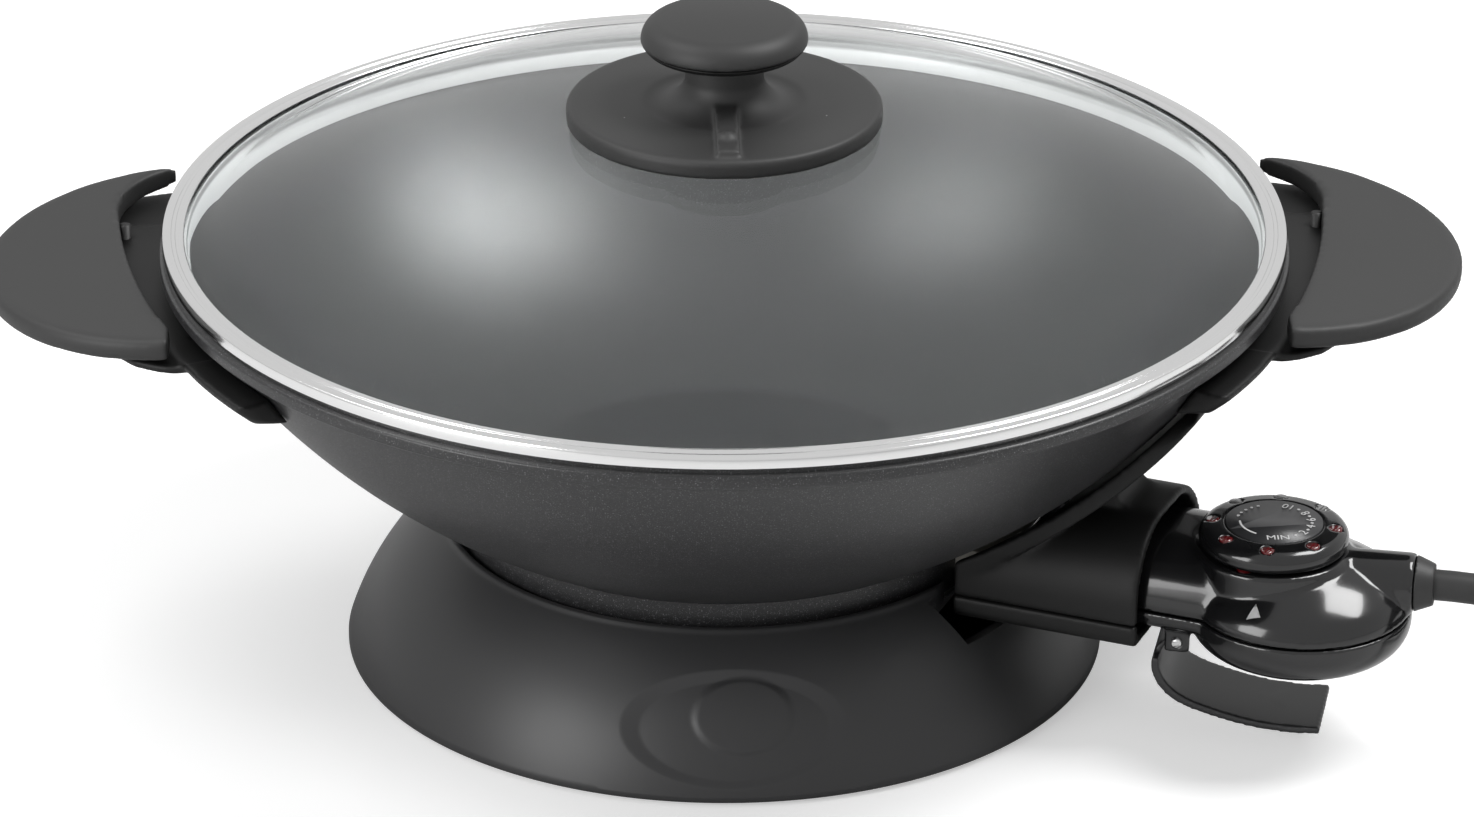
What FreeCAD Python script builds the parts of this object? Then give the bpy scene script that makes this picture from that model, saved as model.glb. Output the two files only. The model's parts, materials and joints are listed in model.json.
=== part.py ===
import FreeCAD, Part
import math
import os
from FreeCAD import Vector

# Electric wok on a flared base, with a lift-off glass lid and a plug-in temperature probe.
# Millimetres, Z up. The origin is the middle of the resting plane, the handles lie along X and the front is -Y.

# Base
foot_drop = 1.5
foot_outer = 9.0
foot_height = 3.0
base_radius = 123.0
base_edge_height = 3.0
base_lip_height = 46.5
base_bulge = 4.0
base_wall = 2.6
collar_wall = 2.3
lip_width = 2.9
ledge_width = 13.5
ledge_depth = 7.5
ledge_thickness = 2.5
floor_plate_width = 54.1
floor_plate_thickness = 2.0
post_inset = 23.0
post_radius = 5.0
post_screw_radius = 1.9
seat_plate_thickness = 1.0
seat_plate_hole = 14.0
seat_screw_inset = 9.8
base_screw_count = 4
badge_width = 71.0
badge_height = 37.0
badge_depth = 0.9
badge_disc_width = 32.0
badge_disc_height = 25.0
badge_disc_rise = 4.5

# Pan
foot_ring_radius = 88.0
foot_ring_height = 13.5
foot_ring_wall = 4.0
foot_ring_clearance = 1.6
pan_floor_thickness = 3.5
pan_floor_radius = 62.0
pan_wall_height = 83.0
pan_wall_bulge = 8.0
pan_wall_thickness = 3.3
pan_inner_bulge = 15.5
pan_rim_radius = 180.0
pan_rim_height = 4.5
rim_overhang = 3.5
rim_edge = 0.7
cover_plate_gap = 0.4
cover_plate_thickness = 0.8
cover_plate_depth = 9.0
cover_boss_radius = 6.0
cover_screw_radius = 1.95

# Heating element, its pins and the probe's axis
element_inset = 26.0
element_tube_radius = 3.3
element_seat_gap = 0.1
leg_offset = 14.0
pin_radius = 2.2
pin_length = 14.0
block_length = 18.0
block_half_width = 16.5
block_depth = 7.9
rod_radius = 3.0
rod_guide_clearance = 0.1
rod_reach = 36.0
probe_turn = -24.0

# Handles. The grips are a mirrored pair, each with a pocket that is widest towards the back.
handle_half_width = 71.0
handle_reach = 56.0
handle_below_rim = 3.0
handle_thickness = 7.4
handle_edge = 2.4
handle_droop_degrees = 3.0
pocket_reach = 14.5
pocket_back_inset = 4.0
pocket_front_inset = 8.0
guard_depth = 21.0
guard_reach = 4.0
guard_spread_degrees = 35.0
guard_end_round = 15.0
guard_floor_height = 9.5
guard_lobe_degrees = 23.0
guard_seat_gap = 0.3
guard_rim_gap = 0.6
shelf_reach = 21.0
shelf_depth = 6.0
shelf_half_width = 40.0
boss_depth = 16.0
boss_spread_degrees = 17.0
boss_radius = 3.4
guard_screw_radius = 1.9
handle_screw_inset = 8.0
handle_screw_y = 30.0

# Shroud that guides the probe
shroud_offset = 3.5
shroud_length = 61.0
shroud_half_width = 32.0
shroud_below_axis = 13.1
shroud_above_axis = 24.9
shroud_wall = 3.0
shroud_top_round = 25.0
shroud_bottom_round = 3.0
shroud_parting_drop = 5.4
parting_gap = 0.1
shield_gap = 2.0
shield_thickness = 3.2
shield_below_guard = 1.5
shield_tip_round = 14.0
lug_offset = 13.0
lug_y = 22.5
lug_radius = 4.5
lug_drop = 5.5
shroud_screw_radius = 1.9
notch_margin = 7.0
notch_depth_gap = 4.0

# Lid
lid_inset = 1.0
lid_band_gap = 1.8
lid_height = 6.0
lid_flange_width = 7.0
lid_sheet = 0.9
lid_seat_play = 0.5
skirt_depth = 7.0
skirt_inset = 9.3
glass_thickness = 3.7
glass_gap = 0.1
glass_edge_inset = 1.6
glass_rise = 37.0
glass_hole_radius = 6.5
vent_hole_radius = 3.5
vent_hole_circle = 28.0
vent_hole_count = 3

# Vent dial and knob
dial_plate_radius = 50.2
dial_plate_gap = 0.4
dial_plate_rise = 3.2
dial_plate_wall = 2.3
neck_radius = 12.5
neck_height = 15.8
hub_radius = 8.5
rib_width = 7.0
rib_inset = 3.7
rib_height = 4.3
knob_radius = 26.5
knob_height = 9.0
knob_round = 6.7
knob_base_height = 4.3
knob_screw_radius = 2.45
washer_radius = 9.5
vent_turn_degrees = 30.0

# Probe
bulge_offset = 43.7
bulge_radius = 35.3
probe_parting_drop = 2.2
belly_drop = 3.3
belly_height = 17.5
bulge_side_round = 11.0
back_height = 20.0
shell_wall = 2.2
neck_half_width = 26.0
neck_below_axis = 8.6
neck_above_axis = 17.9
neck_into_shroud = 22.5
neck_low_round = 5.0
neck_high_round = 19.0
tongue_gap = 3.0
tongue_half_width = 24.0
tongue_below_axis = 7.1
tongue_above_axis = 9.9
crank_degrees = 11.7
dial_back = 8.8
dial_y = -1.9
dial_radius = 23.5
dial_gap = 0.5
dial_height = 7.4
dial_seat_radius = 24.6
dial_seat_drop = 1.0
dial_face_radius = 15.3
dial_face_thickness = 1.2
window_count = 8
window_circle = 19.3
window_radius = 2.1
window_depth = 1.6
shaft_radius = 3.0
shaft_clearance = 0.08
switch_rise = 5.9
lamp_radius = 2.4
lamp_offset = 19.3
gland_rise = 7.5
gland_radius = 9.6
gland_start = 29.0
gland_end = 36.0
gland_collar_length = 6.0
cord_radius = 5.0
socket_radius = 4.0
socket_length = 24.0
socket_clearance = 0.08
probe_screw_radius = 1.5
probe_screw_offset = 14.0
probe_screw_y = 19.0

# Release lever, in the plane of the cranked hand part (distance from the bulge's middle, height)
lever_width = 31.0
lever_thickness = 2.4
barrel_width = 22.0
pivot_s = -37.0
pivot_drop = 13.5
pivot_pin_radius = 1.5
pivot_clearance = 0.05
barrel_radius = 3.1
ear_width = 3.0
ear_gap = 0.4
spring_width = 7.0
spring_gap = 0.3
lever_top_curve = ((-0.6, 0.0), (-5.4, -7.0), (-2.0, -14.6), (11.0, -21.3), (28.0, -24.8), (46.0, -25.0))
lever_low_curve = ((-3.0, 0.0), (-7.8, -7.2), (-3.9, -16.6), (10.0, -23.6), (27.7, -27.2), (46.2, -27.4))

# Cord, coil and plug. The tail's steps are distances past the coil and heights.
coil_mean_radius = 50.0
coil_turns = 2.25
plug_radius = 18.5
tail_steps = ((20.0, 25.6), (45.0, plug_radius), (62.0, plug_radius))
plug_body_length = 34.0
plug_relief_length = 24.0
plug_pin_radius = 2.4
plug_pin_length = 19.0
plug_pin_spacing = 19.0

# Places that follow from the sizes above: base
lip_inner_radius = foot_ring_radius + foot_ring_clearance
base_lip_radius = lip_inner_radius + lip_width
ledge_inner_radius = lip_inner_radius - ledge_width
ledge_height = base_lip_height - ledge_depth
seat_z = ledge_height + seat_plate_thickness
post_circle = base_radius - post_inset
seat_screw_circle = lip_inner_radius - seat_screw_inset
badge_z = (base_edge_height + base_lip_height) / 2 - 2.75
badge_disc_z = badge_z + badge_disc_rise

# Pan and its fittings
pan_floor_under = seat_z + foot_ring_height
pan_wall_top = pan_floor_under + pan_wall_height
pan_wall_top_radius = pan_rim_radius - rim_overhang
pan_rim_top = pan_wall_top + pan_rim_height
cover_plate_z = pan_floor_under - cover_plate_depth
element_circle = foot_ring_radius - element_inset
element_z = pan_floor_under - element_seat_gap - element_tube_radius
block_start = foot_ring_radius - 2.0
block_end = block_start + block_length
block_bottom = pan_floor_under - block_depth
pin_end = block_end + pin_length
rod_tip = block_start - rod_reach
lug_x = foot_ring_radius + lug_offset
lug_bottom = pan_floor_under - lug_drop
shroud_start = foot_ring_radius + shroud_offset
shroud_end = shroud_start + shroud_length
shroud_bottom = element_z - shroud_below_axis
shroud_top = element_z + shroud_above_axis
shroud_parting = element_z - shroud_parting_drop
handle_root_x = pan_rim_radius - pocket_front_inset
handle_tip_x = pan_rim_radius + handle_reach
handle_top = pan_rim_top - handle_below_rim
handle_bottom = handle_top - handle_thickness
guard_bottom = pan_rim_top - guard_depth
guard_floor = guard_bottom + guard_floor_height
guard_outer_x = pan_rim_radius + guard_reach
shield_top = guard_bottom - shield_below_guard
shelf_x = pan_rim_radius + shelf_reach
shelf_bottom = handle_bottom - shelf_depth
boss_z = pan_rim_top - boss_depth
boss_end = pan_wall_top_radius - 0.5
handle_screw_x = shelf_x - handle_screw_inset

# Lid, vent dial and knob
lid_radius = pan_rim_radius - lid_inset
lid_band_bottom = pan_rim_top + lid_band_gap
lid_top = pan_rim_top + lid_height
skirt_bottom = pan_rim_top - skirt_depth
skirt_bottom_radius = lid_radius - skirt_inset
glass_edge_radius = lid_radius - glass_edge_inset
glass_dome_radius = lid_radius - lid_flange_width - lid_seat_play
glass_top = lid_top - lid_sheet - glass_gap
glass_low = glass_top - glass_thickness
glass_dome_top = lid_top + glass_rise
dial_plate_top = glass_dome_top + dial_plate_rise
neck_top = dial_plate_top + neck_height
rib_reach = dial_plate_radius - rib_inset
rib_top = dial_plate_top + rib_height
knob_cap_bottom = neck_top + 0.2
knob_seam = knob_cap_bottom + knob_base_height
knob_top = knob_seam + knob_height

# Probe
bulge_x = shroud_end + bulge_offset
probe_parting = element_z - probe_parting_drop
neck_bottom = element_z - neck_below_axis
neck_top_z = element_z + neck_above_axis
neck_back_x = shroud_end - neck_into_shroud
tongue_start = block_end + tongue_gap
tongue_bottom = element_z - tongue_below_axis
tongue_top = element_z + tongue_above_axis
dial_x = bulge_x - dial_back
dial_seat_top = neck_top_z - dial_seat_drop
dial_bottom = dial_seat_top + dial_gap
switch_top = element_z + switch_rise
gland_z = element_z + gland_rise
pivot_z = element_z - pivot_drop
far = 3 * pan_rim_radius

z_axis = Vector(0, 0, 1)


def outline(start, *steps):
    """Closed face in the XZ plane: a step of two numbers is a line, one of four an arc through its first pair."""
    here = Vector(start[0], 0, start[1])
    first = here
    edges = []
    for step in steps:
        there = Vector(step[-2], 0, step[-1])
        if len(step) == 2:
            edges.append(Part.makeLine(here, there))
        else:
            edges.append(Part.Arc(here, Vector(step[0], 0, step[1]), there).toShape())
        here = there
    if here.distanceToPoint(first) > 1e-6:
        edges.append(Part.makeLine(here, first))
    return Part.Face(Part.Wire(edges))


def turned(face):
    return face.revolve(Vector(0, 0, 0), z_axis, 360)


def across(face, half_width):
    """Push an XZ face out to both sides along Y."""
    face.translate(Vector(0, -half_width, 0))
    return face.extrude(Vector(0, 2 * half_width, 0))


def box(x0, x1, y0, y1, z0, z1):
    return Part.makeBox(x1 - x0, y1 - y0, z1 - z0, Vector(x0, y0, z0))


def post(radius, x, y, z0, z1):
    return Part.makeCylinder(radius, z1 - z0, Vector(x, y, z0))


def rod(radius, x0, x1, y, z):
    return Part.makeCylinder(radius, x1 - x0, Vector(x0, y, z), Vector(1, 0, 0))


def rounded_bar(x0, x1, half_width, z0, z1, low_round, high_round):
    """Bar along X whose section is a box with rounded lower and upper corners."""
    corners = [(-1, z0, low_round, 1), (1, z0, low_round, 1), (1, z1, high_round, -1), (-1, z1, high_round, -1)]
    points = []
    for index, (side, z, size, up) in enumerate(corners):
        along = Vector(x0, side * (half_width - size), z)
        upright = Vector(x0, side * half_width, z + up * size)
        bend = size * (1 - math.sqrt(0.5))
        middle = Vector(x0, side * (half_width - bend), z + up * bend)
        points.append((upright, middle, along) if index % 2 == 0 else (along, middle, upright))
    edges = []
    for index, (first, middle, last) in enumerate(points):
        edges.append(Part.Arc(first, middle, last).toShape())
        edges.append(Part.makeLine(last, points[(index + 1) % 4][0]))
    return Part.Face(Part.Wire(edges)).extrude(Vector(x1 - x0, 0, 0))


def bow(start, end, rise):
    """Middle point of an arc that stands out by rise to the right of the way from start to end."""
    dx = end[0] - start[0]
    dz = end[1] - start[1]
    size = math.hypot(dx, dz)
    return ((start[0] + end[0]) / 2 + rise * dz / size, (start[1] + end[1]) / 2 - rise * dx / size)


def cap_middle(radius, low, top):
    """Point halfway out on a spherical cap of that radius, whose crown is on the axis."""
    rise = top - low
    sphere = (radius * radius + rise * rise) / (2 * rise)
    return radius / 2, top - sphere + math.sqrt(sphere * sphere - radius * radius / 4)


def joined(shapes):
    whole = shapes[0]
    for shape in shapes[1:]:
        whole = whole.fuse(shape)
    return whole.removeSplitter()


def ring_of(shape, count, first_degrees):
    copies = []
    for index in range(count):
        copy = shape.copy()
        copy.rotate(Vector(0, 0, 0), z_axis, first_degrees + index * 360.0 / count)
        copies.append(copy)
    return copies


def aimed(shape):
    """From the probe's own frame, with X along its axis, to the object's frame."""
    copy = shape.copy()
    copy.rotate(Vector(0, 0, 0), z_axis, probe_turn)
    return copy


def cranked(shape):
    """Turn a piece of the probe's hand part about the middle of the bulge."""
    copy = shape.copy()
    copy.rotate(Vector(bulge_x, 0, 0), z_axis, crank_degrees)
    return copy


nodes = {}


def save(name, shape):
    nodes[name] = shape


wall_mid = bow((foot_ring_radius, pan_floor_under), (pan_wall_top_radius, pan_wall_top), pan_wall_bulge)


def wall_circle():
    """Centre and radius of the arc that the pan's outer wall follows."""
    x0, z0 = foot_ring_radius, pan_floor_under
    x1, z1 = pan_wall_top_radius, pan_wall_top
    chord = math.hypot(x1 - x0, z1 - z0)
    radius = (chord * chord / 4 + pan_wall_bulge ** 2) / (2 * pan_wall_bulge)
    back = radius - pan_wall_bulge
    nx, nz = (z1 - z0) / chord, -(x1 - x0) / chord
    return (x0 + x1) / 2 - nx * back, (z0 + z1) / 2 - nz * back, radius


wall_cx, wall_cz, wall_radius = wall_circle()


def wall_z(x, gap):
    """Height of the wall's outer face, moved out by gap, at distance x from the axis."""
    return wall_cz - math.sqrt((wall_radius + gap) ** 2 - (x - wall_cx) ** 2)


def wall_x(z, gap):
    return wall_cx + math.sqrt((wall_radius + gap) ** 2 - (z - wall_cz) ** 2)


def pan_envelope(gap):
    """All the room that the pan fills, moved out by gap, for trimming what hugs its wall."""
    low = (wall_x(pan_floor_under, gap), pan_floor_under)
    high = (wall_x(pan_wall_top, gap), pan_wall_top)
    middle_z = (low[1] + high[1]) / 2
    above = far
    face = outline((0, low[1]), low, (wall_x(middle_z, gap), middle_z) + high, (high[0], above), (0, above))
    return turned(face)


def base_outer_face():
    top = (base_lip_radius, base_lip_height - 1.0)
    edge = (base_radius, base_edge_height)
    middle = bow(edge, top, base_bulge)
    return edge, middle, top


def base_inner_points():
    edge, _, top = base_outer_face()
    low = (edge[0] - base_wall, foot_height + floor_plate_thickness)
    high = (lip_inner_radius + collar_wall, top[1] - base_wall * 1.4)
    return low, bow(low, high, base_bulge), high


def base_solid():
    """The base filled in under its outer face, for trimming posts."""
    edge, middle, top = base_outer_face()
    return turned(outline((0, foot_drop), (base_radius, foot_drop), edge, middle + top, (0, top[1])))


def badge_recess():
    """Shallow oval on the front with a raised plain disc in it."""
    edge, middle, top = base_outer_face()
    skin = 6.0
    band = turned(outline(edge, middle + top, (top[0] + skin, top[1] + skin), (edge[0] + skin, edge[1] + skin)))
    band.translate(Vector(0, badge_depth, 0))
    oval = oval_plug(badge_width, badge_height, badge_z)
    disc = oval_plug(badge_disc_width, badge_disc_height, badge_disc_z)
    return band.common(oval).cut(disc)


def oval_plug(width, height, z):
    """Elliptic bar along Y through the front of the skirt, as tall as the slope needs."""
    slope = 0.82
    big = max(width, height * slope) / 2
    small = min(width, height * slope) / 2
    oval = Part.Ellipse(Vector(0, 0, 0), big, small).toShape()
    face = Part.Face(Part.Wire([oval]))
    face.rotate(Vector(0, 0, 0), Vector(1, 0, 0), 90)
    face.translate(Vector(0, -base_lip_radius + 12, z))
    return face.extrude(Vector(0, -60, 0))


def make_base():
    edge, middle, top = base_outer_face()
    low, inner_mid, high = base_inner_points()
    lip_mid = ((base_lip_radius + lip_inner_radius) / 2, base_lip_height)
    shelf = ledge_height - ledge_thickness
    face = outline((base_radius, foot_drop), edge, middle + top,
                   lip_mid + (lip_inner_radius, top[1]), (lip_inner_radius, ledge_height),
                   (ledge_inner_radius, ledge_height), (ledge_inner_radius, shelf),
                   (lip_inner_radius + collar_wall, shelf), high, inner_mid + low, (low[0], foot_drop))
    shell = turned(face)
    plate_top = foot_height + floor_plate_thickness
    column = post(post_radius, post_circle, 0, plate_top, ledge_height)
    columns = [shape.common(base_solid()) for shape in ring_of(column, base_screw_count, 45)]
    shell = joined([shell] + columns)
    bore = post(post_screw_radius + 0.05, post_circle, 0, 0, plate_top + 14)
    for shape in ring_of(bore, base_screw_count, 45):
        shell = shell.cut(shape)
    hole = post(post_screw_radius + 0.05, seat_screw_circle, 0, shelf - 1, seat_z)
    for shape in ring_of(hole, base_screw_count, 45):
        shell = shell.cut(shape)
    half = shroud_half_width + notch_margin
    notch = box(foot_ring_radius - 2, base_radius, -half, half, shroud_bottom - notch_depth_gap, far)
    shell = shell.cut(aimed(notch))
    shell = shell.cut(badge_recess())
    save("base_shell", shell)

    plate_edge = low[0] - 0.3
    plate_inner = plate_edge - floor_plate_width
    floor = turned(outline((plate_inner, foot_height), (plate_edge, foot_height), (plate_edge, plate_top),
                           (plate_inner, plate_top)))
    for shape in ring_of(post(post_screw_radius + 0.05, post_circle, 0, 0, plate_top + 1), base_screw_count, 45):
        floor = floor.cut(shape)
    save("base_floor", floor)

    foot = post(foot_outer, post_circle, 0, 0, foot_height)
    foot = foot.cut(post(foot_outer * 0.45, post_circle, 0, 0, foot_height))
    save("base_feet", Part.makeCompound(ring_of(foot, base_screw_count, 45)))

    screw = post(foot_outer * 0.4, post_circle, 0, 1.2, foot_height)
    screw = screw.fuse(post(post_screw_radius, post_circle, 0, foot_height, plate_top + 12)).removeSplitter()
    save("base_screws", Part.makeCompound(ring_of(screw, base_screw_count, 45)))

    seat = turned(outline((seat_plate_hole, ledge_height), (lip_inner_radius - 0.4, ledge_height),
                          (lip_inner_radius - 0.4, seat_z), (seat_plate_hole, seat_z)))
    for shape in ring_of(hole, base_screw_count, 45):
        seat = seat.cut(shape)
    save("seat_plate", seat)

    screw = post(3.2, seat_screw_circle, 0, seat_z, seat_z + 1.8)
    screw = screw.fuse(post(post_screw_radius, seat_screw_circle, 0, shelf, seat_z)).removeSplitter()
    save("seat_screws", Part.makeCompound(ring_of(screw, base_screw_count, 45)))


def handle_bosses(radius, start, end):
    bosses = []
    for side in (0, 180):
        for spread in (-boss_spread_degrees, boss_spread_degrees):
            boss = rod(radius, start, end, 0, boss_z)
            boss.rotate(Vector(0, 0, 0), z_axis, side + spread)
            bosses.append(boss)
    return bosses


def make_pan():
    low = (foot_ring_radius, pan_floor_under)
    wall_end = (pan_wall_top_radius, pan_wall_top)
    ring_inner = foot_ring_radius - foot_ring_wall
    body = turned(outline((0, pan_floor_under), (ring_inner, pan_floor_under), (ring_inner, seat_z),
                          (foot_ring_radius, seat_z), low, wall_mid + wall_end,
                          (pan_rim_radius - rim_edge, pan_wall_top), (pan_rim_radius, pan_wall_top + rim_edge),
                          (pan_rim_radius, pan_rim_top - rim_edge), (pan_rim_radius - rim_edge, pan_rim_top),
                          (0, pan_rim_top)))
    lugs = [post(lug_radius, lug_x, side * lug_y, lug_bottom, wall_z(lug_x, 0) + 9) for side in (-1, 1)]
    body = joined([body] + [aimed(lug) for lug in lugs] + handle_bosses(boss_radius, boss_end - 22, boss_end))
    inner_start = (pan_floor_radius, pan_floor_under + pan_floor_thickness)
    inner_end = (pan_wall_top_radius - pan_wall_thickness + 0.1, pan_wall_top + 1)
    inner_mid = bow(inner_start, inner_end, pan_inner_bulge)
    inside = turned(outline((0, inner_start[1]), inner_start, inner_mid + inner_end,
                            (inner_end[0], pan_rim_top - rim_edge), (inner_end[0] + rim_edge, pan_rim_top),
                            (inner_end[0] + rim_edge, pan_rim_top + 1), (0, pan_rim_top + 1)))
    body = body.cut(inside)
    body = body.fuse(post(cover_boss_radius, 0, 0, cover_plate_z + cover_plate_thickness, pan_floor_under))
    body = body.cut(post(cover_screw_radius + 0.05, 0, 0, cover_plate_z, pan_floor_under))
    gate_half = lug_y + lug_radius
    gate = box(block_start - 6, lug_x - lug_radius - 1, -gate_half, gate_half, seat_z - 1, pan_floor_under)
    body = body.cut(aimed(gate))
    for side in (-1, 1):
        body = body.cut(aimed(post(shroud_screw_radius + 0.05, lug_x, side * lug_y, lug_bottom - 1, lug_bottom + 9)))
    for hole in handle_bosses(guard_screw_radius + 0.05, boss_end - 7, boss_end + 1):
        body = body.cut(hole)
    save("pan_bowl", body.removeSplitter())

    leg_angle = math.degrees(math.asin(leg_offset / element_circle))
    loop = Part.makeTorus(element_circle, element_tube_radius, Vector(0, 0, element_z), z_axis,
                          -180, 180, 360 - 2 * leg_angle)
    loop.rotate(Vector(0, 0, 0), z_axis, leg_angle)
    leg_x = element_circle * math.cos(math.radians(leg_angle))
    pieces = [loop]
    for side in (-1, 1):
        pieces.append(Part.makeSphere(element_tube_radius, Vector(leg_x, side * leg_offset, element_z)))
        pieces.append(rod(element_tube_radius, leg_x, block_start, side * leg_offset, element_z))
    save("heating_element", aimed(joined(pieces)))

    pins = [rod(pin_radius, block_start, pin_end, side * leg_offset, element_z) for side in (-1, 1)]
    save("terminal_pins", Part.makeCompound([aimed(pin) for pin in pins]))

    block = box(block_start, block_end, -block_half_width, block_half_width, block_bottom, pan_floor_under - 0.1)
    for side in (-1, 1):
        block = block.cut(rod(pin_radius + 0.04, block_start - 1, block_end + 1, side * leg_offset, element_z))
    block = block.cut(rod(rod_radius + rod_guide_clearance, block_start - 1, block_end + 1, 0, element_z))
    save("terminal_block", aimed(block))

    cover_radius = ring_inner - cover_plate_gap
    cover = post(cover_radius, 0, 0, cover_plate_z, cover_plate_z + cover_plate_thickness)
    cover = cover.cut(post(cover_screw_radius + 0.15, 0, 0, 0, pan_floor_under))
    gate = box(block_start - 6, foot_ring_radius, -gate_half, gate_half, 0, pan_floor_under)
    save("bottom_cover", cover.cut(aimed(gate)))
    screw = post(4.5, 0, 0, cover_plate_z - 1.9, cover_plate_z)
    shank = post(cover_screw_radius, 0, 0, cover_plate_z, pan_floor_under - 1.5)
    save("cover_screw", screw.fuse(shank).removeSplitter())


def pocket():
    """Room beside the rim, seen from above: widest towards the back, narrow at the front."""
    back = handle_half_width
    start = (0, back)
    corner = (pan_rim_radius - pocket_back_inset, back)
    widest = (pan_rim_radius + pocket_reach, back * 0.45)
    shoulder = (pan_rim_radius + pocket_reach * 0.75, back * 0.79)
    front = (pan_rim_radius - pocket_front_inset, -back * 0.91)
    side = (pan_rim_radius + pocket_reach * 0.64, -back * 0.09)
    face = outline(start, corner, shoulder + widest, side + front, (0, front[1]))
    face.rotate(Vector(0, 0, 0), Vector(1, 0, 0), -90)
    face.translate(Vector(0, 0, handle_bottom - handle_thickness))
    return face.extrude(Vector(0, 0, 3 * handle_thickness))


def paddle():
    """Right grip: half an ellipse with a pocket beside the rim, drooping slightly outwards."""
    half_length = handle_tip_x - handle_root_x
    ellipse = Part.Ellipse(Vector(handle_root_x, 0, handle_bottom), handle_half_width, half_length)
    whole = Part.Face(Part.Wire([ellipse.toShape()]))
    whole.rotate(Vector(handle_root_x, 0, handle_bottom), z_axis, 90)
    plate = whole.extrude(Vector(0, 0, handle_thickness))
    half = box(handle_root_x + 2, handle_tip_x + 1, -handle_half_width, handle_half_width, handle_bottom, handle_top)
    plate = plate.common(half)
    outer_edges = []
    for edge in plate.Edges:
        middle = edge.valueAt((edge.FirstParameter + edge.LastParameter) / 2)
        if edge.Length > handle_half_width and middle.x > handle_root_x + half_length / 2:
            outer_edges.append(edge)
    plate = plate.makeFillet(handle_edge, outer_edges)
    plate = plate.cut(pocket())
    room = turned(outline((0, 0), (pan_rim_radius + guard_rim_gap, 0), (pan_rim_radius + guard_rim_gap, far), (0, far)))
    plate = plate.cut(room)
    plate.rotate(Vector(handle_root_x, 0, handle_bottom), Vector(0, 1, 0), handle_droop_degrees)
    return plate


def heat_guard(envelope):
    """Right heat guard: a band that hugs the wall with a lobe at each end, and the shelf that carries the grip."""
    start = wall_x(guard_bottom, 0) - 6
    low_x = guard_outer_x - guard_floor_height
    under = handle_bottom - 0.1
    band = outline((start, guard_bottom), (low_x, guard_bottom), (guard_outer_x, guard_floor - 1),
                   (guard_outer_x, guard_floor), (start, guard_floor))
    lobe = outline((start, guard_floor - 1), (guard_outer_x, guard_floor - 1), (guard_outer_x, under),
                   (start, under))
    parts = []
    for face, first, last in ((band, -guard_spread_degrees, guard_spread_degrees),
                              (lobe, -guard_spread_degrees, -guard_lobe_degrees),
                              (lobe, guard_lobe_degrees, guard_spread_degrees)):
        copy = face.copy()
        copy.rotate(Vector(0, 0, 0), z_axis, first)
        parts.append(copy.revolve(Vector(0, 0, 0), z_axis, last - first))
    parts.append(box(start, shelf_x, -shelf_half_width, shelf_half_width, shelf_bottom, guard_floor))
    parts.append(box(shelf_x - shelf_reach * 0.45, shelf_x, -shelf_half_width, shelf_half_width, guard_floor, under))
    body = joined(parts).cut(envelope)
    rim_room = post(pan_rim_radius + guard_rim_gap, 0, 0, pan_wall_top - guard_rim_gap, far)
    body = body.cut(rim_room)
    half = guard_outer_x * math.sin(math.radians(guard_spread_degrees))
    keep = rounded_bar(0, shelf_x + 1, half, guard_bottom - shelf_depth, far, guard_end_round, 1.0)
    ends = rounded_bar(0, shelf_x + 1, half, guard_bottom, far, guard_end_round, 1.0)
    middle = box(0, shelf_x + 1, -shelf_half_width - 1, shelf_half_width + 1, 0, far)
    body = body.common(keep.common(ends.fuse(middle)))
    above = box(0, far, -far, far, under, 2 * far)
    above.rotate(Vector(handle_root_x, 0, handle_bottom), Vector(0, 1, 0), handle_droop_degrees)
    return body.cut(above)


def mirrored(shape):
    return shape.mirror(Vector(0, 0, 0), Vector(1, 0, 0))


def make_handles():
    guard = heat_guard(pan_envelope(guard_seat_gap))
    for spread in (-boss_spread_degrees, boss_spread_degrees):
        for radius, start, end in ((boss_radius + 0.3, boss_end - 26, boss_end + 0.2),
                                   (guard_screw_radius + 0.1, boss_end - 6, guard_outer_x + 1),
                                   (3.5, guard_outer_x - 3.55, guard_outer_x + 1)):
            hole = rod(radius, start, end, 0, boss_z)
            hole.rotate(Vector(0, 0, 0), z_axis, spread)
            guard = guard.cut(hole)
    grip = paddle()
    screws = []
    guard_screws = []
    for side in (-1, 1):
        y = side * handle_screw_y
        guard = guard.cut(post(guard_screw_radius + 0.1, handle_screw_x, y, 0, handle_top))
        guard = guard.cut(post(3.5, handle_screw_x, y, 0, shelf_bottom + 1.4))
        grip = grip.cut(post(guard_screw_radius + 0.05, handle_screw_x, y, 0, handle_top - 3.5))
        screw = post(3.4, handle_screw_x, y, shelf_bottom - 1.0, shelf_bottom + 1.4)
        shank = post(guard_screw_radius, handle_screw_x, y, shelf_bottom + 1.4, handle_top - 4.2)
        screws.append(screw.fuse(shank).removeSplitter())
        head = rod(3.2, guard_outer_x - 3.5, guard_outer_x - 1.3, 0, boss_z)
        shank = rod(guard_screw_radius, boss_end - 6, guard_outer_x - 3.5, 0, boss_z)
        screw = head.fuse(shank).removeSplitter()
        screw.rotate(Vector(0, 0, 0), z_axis, side * boss_spread_degrees)
        guard_screws.append(screw)
    for name, shape in (("handle_guard", guard), ("handle_grip", grip)):
        save(name + "_right", shape)
        save(name + "_left", mirrored(shape))
    for name, group in (("handle_screws", screws), ("guard_screws", guard_screws)):
        save(name, Part.makeCompound(group + [mirrored(shape) for shape in group]))


def lug_room(side):
    """Room that one of the pan's lugs takes inside the shroud, in the probe's own frame."""
    return post(lug_radius + 0.3, lug_x, side * lug_y, lug_bottom - 0.1, shroud_top + 1)


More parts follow.
